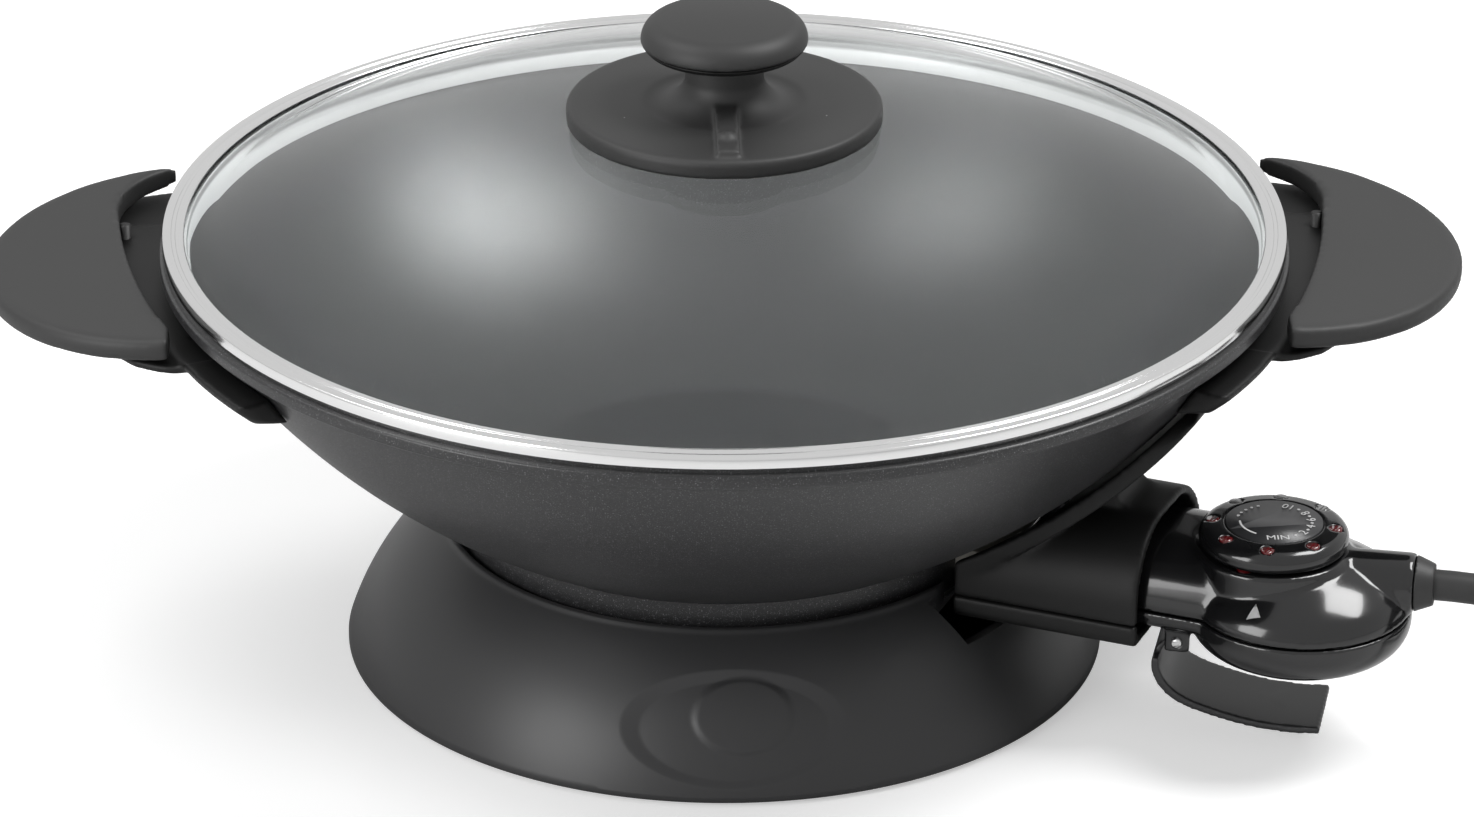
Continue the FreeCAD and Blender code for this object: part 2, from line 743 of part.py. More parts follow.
def make_shroud():
    """Tunnel round the probe's neck with a heat shield that follows the pan's wall."""
    inner = shroud_half_width - shroud_wall
    outer_gap = shield_gap + shield_thickness
    tunnel = rounded_bar(shroud_start, shroud_end, shroud_half_width, shroud_bottom, shroud_top,
                         shroud_bottom_round, shroud_top_round)
    hollow = rounded_bar(shroud_start - 1, shroud_end + 1, inner, shroud_bottom + shroud_wall, shroud_top - shroud_wall,
                         shroud_bottom_round, shroud_top_round - shroud_wall)
    foot_x = shroud_start + 5.5
    tip_z = shield_top - 2.5
    tip = (wall_x(tip_z, outer_gap), tip_z)
    middle_x = (foot_x + tip[0]) / 2
    side = outline((shroud_start, shroud_parting), (foot_x, shroud_parting), (foot_x, wall_z(foot_x, outer_gap)),
                   (middle_x, wall_z(middle_x, outer_gap)) + tip, (tip[0] - 1.5, tip[1] + 3),
                   (tip[0] - 16, tip[1] + 6), (shroud_start, wall_z(shroud_start, 0) + 14))
    shield = across(side, shroud_half_width)
    rounding = rounded_bar(0, far, shroud_half_width, shroud_bottom, shield_top, shroud_bottom_round, shield_tip_round)
    shield = shield.common(rounding)
    corner_x = shroud_start
    while wall_z(corner_x, outer_gap) < shroud_top:
        corner_x += 0.5
    fillet = outline((corner_x - 6, shroud_top - 2), (corner_x + 14, shroud_top - 1), (corner_x + 14, shroud_top),
                     (corner_x + 9.1, shroud_top + 3.2, corner_x + 10.4, shroud_top + 9.3),
                     (corner_x + 4, shroud_top + 9.3))
    blend = across(fillet, shroud_half_width - shroud_top_round + 5)
    whole = joined([tunnel, shield, blend])
    whole = whole.cut(pan_envelope(shield_gap)).cut(hollow)
    for side in (-1, 1):
        whole = whole.cut(lug_room(side))
    upper = whole.common(box(0, far, -far, far, shroud_parting, far))
    lower = whole.common(box(0, far, -far, far, 0, shroud_parting - parting_gap))
    tab_height = lug_bottom - 0.2 - shroud_parting
    for side in (-1, 1):
        tab_y = side * lug_y
        outer_y = side * (inner + 0.5)
        tab = box(lug_x - 4, lug_x + 4, min(tab_y, outer_y), max(tab_y, outer_y), shroud_parting,
                  shroud_parting + tab_height)
        tab = tab.fuse(post(4, lug_x, tab_y, shroud_parting, shroud_parting + tab_height))
        upper = upper.fuse(tab)
        lower = lower.fuse(post(4, lug_x, tab_y, shroud_bottom + shroud_wall - 0.5, shroud_parting - parting_gap))
    for side in (-1, 1):
        bore = post(shroud_screw_radius + 0.1, lug_x, side * lug_y, 0, lug_bottom + 1)
        upper = upper.cut(bore)
        lower = lower.cut(bore)
    save("probe_shroud_upper", aimed(upper.removeSplitter()))
    save("probe_shroud_lower", aimed(lower.removeSplitter()))
    screws = []
    for side in (-1, 1):
        screw = post(3.4, lug_x, side * lug_y, shroud_bottom - 2, shroud_bottom)
        screw = screw.fuse(post(shroud_screw_radius, lug_x, side * lug_y, shroud_bottom, lug_bottom + 8))
        screws.append(aimed(screw.removeSplitter()))
    save("shroud_screws", Part.makeCompound(screws))


def dome_z(radius, drop):
    """Height of the dome at a distance from the axis, on the sphere lowered by drop."""
    rise = glass_dome_top - glass_top
    sphere = (glass_dome_radius ** 2 + rise * rise) / (2 * rise)
    return glass_dome_top - sphere + math.sqrt((sphere - drop) ** 2 - radius * radius)


def make_lid():
    edge = glass_dome_radius
    inner_edge = edge - glass_thickness * 0.45
    half = edge / 2
    hole = glass_hole_radius
    glass = turned(outline((glass_edge_radius, glass_low), (glass_edge_radius, glass_top), (edge, glass_top),
                           (half, dome_z(half, 0), hole, dome_z(hole, 0)), (hole, dome_z(hole, glass_thickness)),
                           (half, dome_z(half, glass_thickness), inner_edge, glass_low)))
    vent = post(vent_hole_radius, vent_hole_circle, 0, 0, far)
    for shape in ring_of(vent, vent_hole_count, 90):
        glass = glass.cut(shape)
    save("lid_glass", glass)

    channel = glass_edge_radius + 0.2
    rest = pan_rim_top
    shelf = glass_low - glass_gap
    skirt_in = lid_radius - lid_flange_width - 1.0
    lip = skirt_bottom_radius
    rim = turned(outline((lid_radius, lid_band_bottom), (lid_radius, lid_top - 0.8),
                         (lid_radius - 0.24, lid_top - 0.24, lid_radius - 0.8, lid_top),
                         (lid_radius - lid_flange_width, lid_top),
                         (lid_radius - lid_flange_width, glass_top + glass_gap), (channel, glass_top + glass_gap),
                         (channel, shelf), (skirt_in, shelf), (lip, skirt_bottom), (lip + 0.7, skirt_bottom),
                         (skirt_in + 0.8, rest), (channel, rest), (lid_radius - 0.8, lid_band_bottom)))
    save("lid_rim", rim)

    bush = turned(outline((3.0, dome_z(0, glass_thickness) - 2.0), (9.0, dome_z(0, glass_thickness) - 2.0),
                          (9.0, dome_z(9, glass_thickness) - 0.15), (hole - 0.1, dome_z(9, glass_thickness) - 0.15),
                          (hole - 0.1, glass_dome_top + 0.15), (9.0, glass_dome_top + 0.15),
                          (9.0, glass_dome_top + 1.4), (3.0, glass_dome_top + 1.4)))
    save("lid_bush", bush)


def make_vent_dial():
    bush_top = glass_dome_top + 1.4
    bush_low = dome_z(0, glass_thickness) - 2.0
    edge = dial_plate_radius
    top = dial_plate_top
    dial_plate_bottom = dome_z(edge, 0) + dial_plate_gap
    dial = turned(outline((knob_screw_radius + 0.05, bush_top + 0.1), (hub_radius, bush_top + 0.1),
                          (hub_radius, top - 0.6),
                          (edge - dial_plate_wall - 1.5, top - dial_plate_wall - 0.4), (edge - dial_plate_wall, top - 4.4),
                          (edge - dial_plate_wall, dial_plate_bottom), (edge, dial_plate_bottom), (edge, top - 1.8),
                          (edge - 0.5, top - 0.5, edge - 1.8, top), (26.0, top + 0.6),
                          (16.0, top + 2.6, neck_radius, neck_top - 8), (neck_radius, neck_top),
                          (knob_screw_radius + 0.05, neck_top)))
    rib = box(-rib_width / 2, rib_width / 2, -rib_reach, -neck_radius + 2, top - 1, rib_top)
    slope = across(outline((neck_radius, rib_top), (rib_reach + 1, top + 2.2), (rib_reach + 1, rib_top + 5),
                           (neck_radius, rib_top + 5)), rib_width)
    slope.rotate(Vector(0, 0, 0), z_axis, -90)
    nub = Part.makeSphere(rib_width / 2, Vector(0, -36.0, top + 1.2))
    dial = joined([dial, rib.cut(slope), nub])
    for degrees in (70, 90, 110):
        gap = box(edge - 6, edge + 2, -2, 2, dial_plate_bottom - 1, dial_plate_bottom + 1.4)
        gap.rotate(Vector(0, 0, 0), z_axis, degrees)
        dial = dial.cut(gap)
    save("vent_dial", dial)

    lift = 0.5
    reach = 38.0
    plate = turned(outline((10.0, dome_z(10, 0) + lift), (reach, dome_z(reach, 0) + lift),
                           (reach, dome_z(reach, 0) + lift + 0.9), (10.0, dome_z(10, 0) + lift + 0.9)))
    vent = post(vent_hole_radius, vent_hole_circle, 0, 0, far)
    for shape in ring_of(vent, vent_hole_count, 90 + vent_turn_degrees):
        plate = plate.cut(shape)
    spokes = ring_of(box(12, 15, -1.5, 1.5, dome_z(10, 0) + lift + 0.3, top - 1.1), 3, 30)
    save("vent_shutter", joined([plate] + spokes))

    cap = turned(outline((neck_radius - 4, knob_cap_bottom), (neck_radius + 1, knob_cap_bottom),
                         (neck_radius + 8, knob_cap_bottom + 1.0, knob_radius - 2.0, knob_cap_bottom + 2.2),
                         (knob_radius - 0.3, knob_seam - 0.2), (neck_radius - 4, knob_seam - 0.2)))
    save("knob_base", cap)
    shoulder = knob_radius - knob_round
    round_z = knob_seam + 1.0
    bend = knob_round * math.sqrt(0.5)
    edge_z = round_z + knob_round
    crown = turned(outline((neck_radius - 4.2, knob_cap_bottom), (neck_radius - 4.2, knob_seam),
                           (knob_radius, knob_seam), (knob_radius, round_z), (shoulder + bend, round_z + bend, shoulder, edge_z),
                           cap_middle(shoulder, edge_z, knob_top) + (0, knob_top), (0, neck_top + 9.5),
                           (knob_screw_radius + 0.05, neck_top + 9.5), (knob_screw_radius + 0.05, knob_cap_bottom)))
    save("knob", crown)

    washer_top = bush_low - 0.1
    washer = post(washer_radius, 0, 0, washer_top - 0.9, washer_top)
    washer = washer.cut(post(knob_screw_radius + 0.05, 0, 0, 0, washer_top + 1))
    save("knob_washer", washer)
    head = post(4.6, 0, 0, washer_top - 4.2, washer_top - 0.9)
    save("knob_screw", head.fuse(post(knob_screw_radius, 0, 0, washer_top - 0.9, neck_top + 9.0)).removeSplitter())


def oval_arcs(width, height, side_round):
    """Quarter of an oval, from its side to its top, as a small and a large arc: three points beyond the start."""
    crown = (width ** 2 + height ** 2 - 2 * width * side_round) / (2 * (height - side_round))
    tilt = math.atan2(width - side_round, crown - height)
    side_centre = (width - side_round, 0)
    angle = (math.pi / 2 - tilt) / 2
    side_mid = (side_centre[0] + side_round * math.cos(angle), side_round * math.sin(angle))
    joint = (side_centre[0] + side_round * math.sin(tilt), side_round * math.cos(tilt))
    crown_mid = (crown * math.sin(tilt / 2), height - crown + crown * math.cos(tilt / 2))
    return side_mid, joint, crown_mid


def bulge_form(inset):
    size = bulge_radius - inset
    low_z = probe_parting - belly_drop
    belly = belly_height - inset
    back = back_height - inset
    low_side, low_joint, low_crown = oval_arcs(size, belly, bulge_side_round - inset)
    top_side, top_joint, top_crown = oval_arcs(size, back, bulge_side_round - inset)
    bulge = turned(outline((0, low_z - belly), (low_crown[0], low_z - low_crown[1], low_joint[0], low_z - low_joint[1]),
                           (low_side[0], low_z - low_side[1], size, low_z), (size, probe_parting),
                           (top_side[0], probe_parting + top_side[1], top_joint[0], probe_parting + top_joint[1]),
                           (top_crown[0], probe_parting + top_crown[1], 0, probe_parting + back)))
    bulge.translate(Vector(bulge_x, 0, 0))
    return bulge


def probe_form(inset):
    """Outer form of the probe's housing, or with an inset the room inside it."""
    bulge = bulge_form(inset)
    seat = post(dial_seat_radius - inset, dial_x, dial_y, probe_parting + 4, dial_seat_top - inset)
    neck = rounded_bar(neck_back_x + inset, bulge_x - 10, neck_half_width - inset, neck_bottom + inset,
                       neck_top_z - inset, neck_low_round - inset / 2, neck_high_round - inset)
    tongue = rounded_bar(tongue_start + inset, neck_back_x + 4, tongue_half_width - inset, tongue_bottom + inset,
                         tongue_top - inset, 4 - inset / 2, 6 - inset)
    shapes = [bulge, seat, neck, tongue]
    if inset == 0:
        gland = rod(gland_radius, bulge_x + 15, bulge_x + gland_end, 0, gland_z)
        shapes.append(cranked(gland))
    above_seat = post(dial_seat_radius, dial_x, dial_y, dial_seat_top - inset, neck_top_z + 10)
    return joined(shapes).cut(above_seat)


def make_probe():
    outer = probe_form(0)
    room = probe_form(shell_wall)
    shell = outer.cut(room)
    for side in (-1, 1):
        shell = shell.cut(rod(socket_radius + 0.05, tongue_start - 1, tongue_start + 6, side * leg_offset, element_z))
    shell = shell.cut(rod(rod_radius + 0.05, tongue_start - 1, tongue_start + 6, 0, element_z))
    shell = shell.cut(cranked(rod(cord_radius + 0.1, bulge_x + 12, bulge_x + 2 * gland_end, 0, gland_z)))
    shell = shell.cut(post(shaft_radius + shaft_clearance, dial_x, dial_y, probe_parting, dial_bottom + 5))
    lamp_x, lamp_y = dial_x - 3.0, dial_y - lamp_offset
    shell = shell.cut(post(lamp_radius + 0.05, lamp_x, lamp_y, probe_parting, dial_bottom + 5))
    above = box(0, far, -far, far, probe_parting, far)
    below = box(0, far, -far, far, 0, probe_parting - parting_gap)
    upper = shell.common(above)
    lower = shell.common(below)
    post_x = bulge_x + probe_screw_offset
    room_upper = room.common(above)
    room_lower = room.common(below)
    screws = []
    for side in (-1, 1):
        y = side * probe_screw_y
        upper = upper.fuse(post(3.6, post_x, y, probe_parting, neck_top_z).common(room_upper))
        lower = lower.fuse(post(3.6, post_x, y, 0, probe_parting - parting_gap).common(room_lower))
        head_z = probe_parting - 9.0
        upper = upper.cut(post(probe_screw_radius + 0.05, post_x, y, probe_parting - 1, probe_parting + 8))
        lower = lower.cut(post(probe_screw_radius + 0.05, post_x, y, 0, probe_parting + 1))
        lower = lower.cut(post(2.9, post_x, y, 0, head_z))
        screw = post(2.8, post_x, y, head_z - 2, head_z)
        screw = screw.fuse(post(probe_screw_radius, post_x, y, head_z, probe_parting + 7)).removeSplitter()
        screws.append(screw)

    pivot_x = bulge_x + pivot_s
    ear_y = barrel_width / 2 + ear_gap
    for side in (-1, 1):
        y0 = min(side * ear_y, side * (ear_y + ear_width))
        ear = box(pivot_x - 4, pivot_x + 4, y0, y0 + ear_width, pivot_z - 3.4, neck_bottom + 1.6)
        start = Vector(pivot_x, -lever_width, pivot_z)
        bore = Part.makeCylinder(pivot_pin_radius + pivot_clearance, 2 * lever_width, start, Vector(0, 1, 0))
        ear = ear.cut(bore)
        lower = lower.fuse(cranked(ear))
    save("probe_top_shell", aimed(upper.removeSplitter()))
    save("probe_bottom_shell", aimed(lower.removeSplitter()))
    save("probe_screws", Part.makeCompound([aimed(screw) for screw in screws]))

    switch_low = neck_bottom + shell_wall
    switch = box(dial_x - 12, dial_x + 8, dial_y - 9, dial_y + 9, switch_low + 0.1, switch_top)
    rod_end = dial_x - 12
    save("thermostat_switch", aimed(switch))
    save("sensor_rod", aimed(rod(rod_radius, rod_tip, rod_end, 0, element_z)))
    sockets = []
    for side in (-1, 1):
        y = side * leg_offset
        tube = rod(socket_radius, tongue_start, tongue_start + socket_length, y, element_z)
        tube = tube.cut(rod(pin_radius + socket_clearance, tongue_start - 1, pin_end + 5, y, element_z))
        sockets.append(aimed(tube))
    save("contact_sockets", Part.makeCompound(sockets))
    lamp = post(lamp_radius, lamp_x, lamp_y, dial_seat_top - 8, dial_seat_top - 0.2)
    save("indicator_lamp", aimed(lamp))
    make_probe_dial()
    make_lever()
    make_gland()


def make_probe_dial():
    top = dial_bottom + dial_height
    edge = dial_radius
    pocket = dial_face_radius + 0.1
    floor = top - dial_face_thickness
    ring = turned(outline((0, dial_bottom), (edge - 0.8, dial_bottom), (edge, dial_bottom + 1.6),
                          (edge - 0.6, top - 2.2, edge - 3.2, top - 0.5), (pocket + 0.8, top), (pocket, top - 0.3),
                          (pocket, floor), (0, floor)))
    ring = ring.cut(post(shaft_radius + 0.05, 0, 0, 0, floor - 1.5))
    windows = []
    for index in range(window_count):
        angle = math.radians(index * 360.0 / window_count + 12)
        x, y = window_circle * math.cos(angle), window_circle * math.sin(angle)
        ring = ring.cut(post(window_radius + 0.05, x, y, top - 1.0 - window_depth, top + 5))
        windows.append(post(window_radius, x, y, top - 0.95 - window_depth, top - 0.55))
    face = post(dial_face_radius, 0, 0, floor + 0.02, top + 0.1)
    shaft = post(shaft_radius, 0, 0, switch_top + 0.05, floor - 1.6)
    place = Vector(dial_x, dial_y, 0)
    pieces = (("dial_ring", [ring]), ("dial_face", [face]), ("dial_shaft", [shaft]), ("dial_windows", windows))
    for name, shapes in pieces:
        placed = []
        for shape in shapes:
            shape.translate(place)
            placed.append(aimed(shape))
        save(name, placed[0] if len(placed) == 1 else Part.makeCompound(placed))


def make_lever():
    """Curved strap under the housing, with a barrel on a cross pin near the mouth."""
    half = lever_thickness / 2
    pivot_x = bulge_x + pivot_s
    top_points = [Vector(pivot_x + s, 0, pivot_z + z) for s, z in lever_top_curve]
    low_points = [Vector(pivot_x + s, 0, pivot_z + z) for s, z in reversed(lever_low_curve)]
    top_curve = Part.BSplineCurve()
    top_curve.interpolate(top_points)
    low_curve = Part.BSplineCurve()
    low_curve.interpolate(low_points)
    edges = [top_curve.toShape(), Part.makeLine(top_points[-1], low_points[0]), low_curve.toShape(),
             Part.makeLine(low_points[-1], top_points[0])]
    strap = across(Part.Face(Part.Wire(edges)), lever_width / 2)
    shoulder_z = pivot_z - 5.2
    for side in (-1, 1):
        y0 = min(side * barrel_width / 2, side * lever_width)
        notch_end = y0 + lever_width - barrel_width / 2
        strap = strap.cut(box(0, pivot_x + lever_width / 2, y0, notch_end, shoulder_z, pivot_z + 10))
    pivot = Vector(pivot_x, -barrel_width / 2, pivot_z)
    barrel = Part.makeCylinder(barrel_radius, barrel_width, pivot, Vector(0, 1, 0))
    hole = pivot_pin_radius + pivot_clearance
    bore = Part.makeCylinder(hole, barrel_width + 2, pivot - Vector(0, 1, 0), Vector(0, 1, 0))
    room = spring_width / 2 + spring_gap
    gap = Part.makeCylinder(barrel_radius + half, 2 * room, Vector(pivot.x, -room, pivot_z), Vector(0, 1, 0))
    lever = joined([strap, barrel]).cut(bore).cut(gap)
    save("release_lever", aimed(cranked(lever)))
    length = barrel_width + 2 * (ear_gap + ear_width)
    pin = Part.makeCylinder(pivot_pin_radius, length, Vector(pivot.x, -length / 2, pivot_z), Vector(0, 1, 0))
    save("lever_pin", aimed(cranked(pin)))
    start = Vector(pivot.x, -spring_width / 2, pivot_z)
    spring = Part.makeCylinder(barrel_radius - 0.3, spring_width, start, Vector(0, 1, 0))
    spring = spring.cut(Part.makeCylinder(pivot_pin_radius + 0.1, spring_width, start, Vector(0, 1, 0)))
    save("lever_spring", aimed(cranked(spring)))


def make_gland():
    collar_x = bulge_x + gland_end + 0.05
    collar = Part.makeCone(gland_radius - 0.6, cord_radius + 1.6, gland_collar_length, Vector(collar_x, 0, gland_z),
                           Vector(1, 0, 0))
    sleeve = rod(cord_radius, bulge_x + gland_start, collar_x + 0.5, 0, gland_z)
    gland = collar.fuse(sleeve).removeSplitter()
    save("cord_gland", aimed(cranked(gland)))


def cord_exit():
    """Point and direction, in the object's frame, where the cord leaves its gland."""
    local = Part.Vertex(bulge_x + gland_end + 0.05 + gland_collar_length, 0, gland_z)
    ahead = Part.Vertex(bulge_x + gland_end + 2 * gland_collar_length, 0, gland_z)
    start = aimed(cranked(local)).Point
    direction = aimed(cranked(ahead)).Point - start
    direction.normalize()
    return start, direction


def cord_route():
    """Chosen points of the free cord, from the gland down to the table and on to the coil."""
    start, direction = cord_exit()
    middle = [Vector(259.0, -97.0, 51.3), Vector(275.7, -100.1, 39.0), Vector(289.3, -102.2, 22.5)]
    low = [Vector(305.8, -104.2, 10.6), Vector(322.8, -105.6, cord_radius), Vector(340.7, -106.4, cord_radius)]
    return [start, start + direction * 19.5] + middle + low


def coil_frame(route):
    """Centre of the coil and the angle at which the cord joins it, so that the last run is a tangent."""
    heading = (route[-1] - route[-2]).normalize()
    inward = Vector(-heading.y, heading.x, 0)
    centre = route[-1] + inward * coil_mean_radius
    return centre, math.atan2(-inward.y, -inward.x)


def tube_along(points, radius):
    """Round tube along straight runs that are joined by tangent arcs, and the length of its path."""
    edges = []
    here = points[0]
    for index in range(1, len(points) - 1):
        before, corner, after = points[index - 1], points[index], points[index + 1]
        inward = (corner - before).normalize()
        outward = (after - corner).normalize()
        turn = inward.getAngle(outward)
        run = min(corner.distanceToPoint(before), corner.distanceToPoint(after))
        reach = 0.45 * run
        print("cord arc radius %.1f" % (reach / math.tan(turn / 2)))
        first = corner - inward * reach
        last = corner + outward * reach
        chord_middle = (first + last) * 0.5
        lean = (chord_middle - corner).normalize()
        sink = reach / math.tan(turn / 2) * (1 / math.cos(turn / 2) - 1)
        edges.append(Part.makeLine(here, first))
        edges.append(Part.Arc(first, corner + lean * sink, last).toShape())
        here = last
    edges.append(Part.makeLine(here, points[-1]))
    path = Part.Wire(edges)
    way = (points[1] - points[0]).normalize()
    disc = Part.Face(Part.Wire([Part.Circle(points[0], way, radius).toShape()]))
    tube = path.makePipe(disc)
    print("cord tube length %.1f, volume ratio %.4f" % (path.Length, tube.Volume / (math.pi * radius ** 2 * path.Length)))
    return tube, path.Length


def make_cord():
    route = cord_route()
    tube, length = tube_along(route, cord_radius)
    save("power_cord", tube)
    centre, entry = coil_frame(route)
    top = 2 * cord_radius * (coil_turns + 1)
    inner, outer = coil_mean_radius - cord_radius, coil_mean_radius + cord_radius
    coil = turned(outline((inner, 0), (outer, 0), (outer, top), (inner, top)))
    coil.translate(Vector(centre.x, centre.y, 0))
    save("power_cord_coil", coil)
    leave = entry + 2 * math.pi * coil_turns
    out = Vector(math.cos(leave), math.sin(leave), 0)
    ahead = Vector(-math.sin(leave), math.cos(leave), 0)
    end_z = top - cord_radius
    tail_start = Vector(centre.x, centre.y, end_z) + out * coil_mean_radius
    tail = [tail_start]
    for distance, z in tail_steps:
        tail.append(tail_start + ahead * distance + Vector(0, 0, z - end_z))
    tail_tube, tail_length = tube_along(tail, cord_radius)
    save("power_cord_tail", tail_tube)
    make_plug(tail[-1], ahead)
    turn_length = 2 * math.pi * coil_mean_radius * coil_turns
    print("cord from gland to plug %.0f mm" % (length + turn_length + tail_length))


def make_plug(start, ahead):
    """Round two-pin mains plug with a tapered relief, lying beside the coil."""
    relief = Part.makeCone(cord_radius + 1.0, cord_radius + 3.5, plug_relief_length, start, ahead)
    body_start = start + ahead * plug_relief_length
    shoulder = plug_body_length * 0.45
    body = Part.makeCone(plug_radius * 0.72, plug_radius, shoulder, body_start, ahead)
    barrel = Part.makeCylinder(plug_radius, plug_body_length - shoulder, body_start + ahead * shoulder, ahead)
    save("mains_plug", joined([relief, body, barrel]))
    face = body_start + ahead * plug_body_length
    pins = []
    for side in (-1, 1):
        foot = face + Vector(ahead.y, -ahead.x, 0) * (side * plug_pin_spacing / 2)
        pins.append(Part.makeCylinder(plug_pin_radius, plug_pin_length, foot, ahead))
    save("plug_pins", Part.makeCompound(pins))


def main():
    make_base()
    make_pan()
    make_handles()
    make_shroud()
    make_lid()
    make_vent_dial()
    make_probe()
    make_cord()
    os.makedirs("parts", exist_ok=True)
    for name, shape in nodes.items():
        shape.exportStep("parts/" + name + ".step")
    print(len(nodes), "nodes")


main()
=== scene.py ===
import json
import math
import bpy
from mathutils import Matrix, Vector

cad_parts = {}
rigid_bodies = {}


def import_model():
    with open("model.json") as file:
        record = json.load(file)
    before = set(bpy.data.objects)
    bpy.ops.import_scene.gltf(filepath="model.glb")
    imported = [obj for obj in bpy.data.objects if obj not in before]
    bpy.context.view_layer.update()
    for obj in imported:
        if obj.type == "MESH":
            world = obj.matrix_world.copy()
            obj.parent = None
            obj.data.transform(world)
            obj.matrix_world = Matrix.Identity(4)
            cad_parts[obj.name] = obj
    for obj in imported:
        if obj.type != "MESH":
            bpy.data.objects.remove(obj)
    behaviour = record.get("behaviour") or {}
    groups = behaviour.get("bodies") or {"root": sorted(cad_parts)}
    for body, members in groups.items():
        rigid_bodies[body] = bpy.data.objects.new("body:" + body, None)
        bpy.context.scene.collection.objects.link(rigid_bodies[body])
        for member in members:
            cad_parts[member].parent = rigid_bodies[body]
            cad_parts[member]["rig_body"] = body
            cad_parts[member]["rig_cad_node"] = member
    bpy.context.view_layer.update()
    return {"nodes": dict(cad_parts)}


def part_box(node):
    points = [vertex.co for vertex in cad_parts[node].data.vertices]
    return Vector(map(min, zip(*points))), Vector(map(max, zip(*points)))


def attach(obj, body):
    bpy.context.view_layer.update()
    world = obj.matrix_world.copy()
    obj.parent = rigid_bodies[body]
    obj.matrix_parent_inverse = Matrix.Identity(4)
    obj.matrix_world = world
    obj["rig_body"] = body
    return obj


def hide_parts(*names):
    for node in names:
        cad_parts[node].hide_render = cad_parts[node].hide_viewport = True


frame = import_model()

bl_info = {
    "name": "Electric Wok",
    "version": (1, 0, 0),
    "blender": (4, 5, 0),
    "location": "View3D > Sidebar > Wok",
    "description": "Dresses the electric wok: its finishes, its cord, its printed marks and a plain studio",
    "category": "Object",
}


class WokCord(bpy.types.PropertyGroup):
    diameter: bpy.props.FloatProperty(
        name="Diameter", description="Thickness of the mains cord", default=0.010, min=0.004, unit="LENGTH")
    coil_radius: bpy.props.FloatProperty(
        name="Coil radius", description="Middle radius of the put-away turns", default=0.050, unit="LENGTH")
    coil_turns: bpy.props.FloatProperty(
        name="Coil turns", description="Turns that hold the rest of the cord", default=2.25, min=1.0)


class WokColours(bpy.types.PropertyGroup):
    coating: bpy.props.FloatVectorProperty(
        name="Pan coating", description="Ground colour of the non-stick coating", subtype="COLOR",
        size=4, min=0.0, max=1.0, default=(0.020, 0.020, 0.021, 1.0))
    specks: bpy.props.FloatVectorProperty(
        name="Coating specks", description="Colour of the fine specks in the coating", subtype="COLOR",
        size=4, min=0.0, max=1.0, default=(0.17, 0.17, 0.175, 1.0))
    base: bpy.props.FloatVectorProperty(
        name="Base", description="Colour of the moulded base", subtype="COLOR",
        size=4, min=0.0, max=1.0, default=(0.024, 0.024, 0.025, 1.0))
    grips: bpy.props.FloatVectorProperty(
        name="Grips and knob", description="Colour of the grips and of the knob", subtype="COLOR",
        size=4, min=0.0, max=1.0, default=(0.022, 0.022, 0.022, 1.0))
    guards: bpy.props.FloatVectorProperty(
        name="Guards", description="Colour of the heat guards and the shroud", subtype="COLOR",
        size=4, min=0.0, max=1.0, default=(0.005, 0.005, 0.005, 1.0))
    probe: bpy.props.FloatVectorProperty(
        name="Probe", description="Colour of the glossy probe housing", subtype="COLOR",
        size=4, min=0.0, max=1.0, default=(0.006, 0.006, 0.0065, 1.0))
    lever: bpy.props.FloatVectorProperty(
        name="Lever", description="Colour of the release lever", subtype="COLOR",
        size=4, min=0.0, max=1.0, default=(0.024, 0.024, 0.025, 1.0))
    # The red of the dial's windows is painted lamp light: the glow of the indicator lamp through the front
    # windows
    windows: bpy.props.FloatVectorProperty(
        name="Dial windows", description="Colour of the small windows in the dial", subtype="COLOR",
        size=4, min=0.0, max=1.0, default=(0.13, 0.006, 0.008, 1.0))
    print_white: bpy.props.FloatVectorProperty(
        name="Print", description="Colour of the printed marks", subtype="COLOR",
        size=4, min=0.0, max=1.0, default=(0.75, 0.75, 0.75, 1.0))


class WokStage(bpy.types.PropertyGroup):
    azimuth: bpy.props.FloatProperty(
        name="Azimuth", description="Where the camera stands round the wok", default=math.radians(-1.5),
        subtype="ANGLE")
    elevation: bpy.props.FloatProperty(
        name="Elevation", description="Height of the camera's line of sight", default=math.radians(24.93),
        subtype="ANGLE")
    distance: bpy.props.FloatProperty(
        name="Distance", description="From the camera to the point it looks at", default=2.2, unit="LENGTH")
    target_height: bpy.props.FloatProperty(
        name="Target height", description="Height on the axis that the camera looks at", default=0.0799,
        unit="LENGTH")
    lens: bpy.props.FloatProperty(
        name="Lens", description="Focal length for a 36 mm sensor", default=166.35)
    shift: bpy.props.FloatProperty(
        name="Shift", description="Sideways shift that frames the wok", default=0.0085)


def deselect():
    if bpy.context.object and bpy.context.object.mode != "OBJECT":
        bpy.ops.object.mode_set(mode="OBJECT")
    bpy.ops.object.select_all(action="DESELECT")


def only(obj):
    deselect()
    obj.select_set(True)
    bpy.context.view_layer.objects.active = obj


def apply_place(obj):
    only(obj)
    bpy.ops.object.transform_apply(location=True, rotation=True, scale=True)


# Shader groups

def new_group(name, inputs, outputs):
    """Empty shader group with named sockets: each input is a name, a socket kind and a default."""
    group = bpy.data.node_groups.new(name, "ShaderNodeTree")
    for label, kind, default in inputs:
        socket = group.interface.new_socket(name=label, in_out="INPUT", socket_type=kind)
        socket.default_value = default
    for label, kind in outputs:
        group.interface.new_socket(name=label, in_out="OUTPUT", socket_type=kind)
    source = group.nodes.new("NodeGroupInput")
    sink = group.nodes.new("NodeGroupOutput")
    return group, source, sink


def add(tree, kind, **settings):
    """New node with its settings; a key that starts with in_ sets an input by name."""
    node = tree.nodes.new(kind)
    for key, value in settings.items():
        if key.startswith("in_"):
            node.inputs[key[3:].replace("_", " ")].default_value = value
        else:
            setattr(node, key, value)
    return node


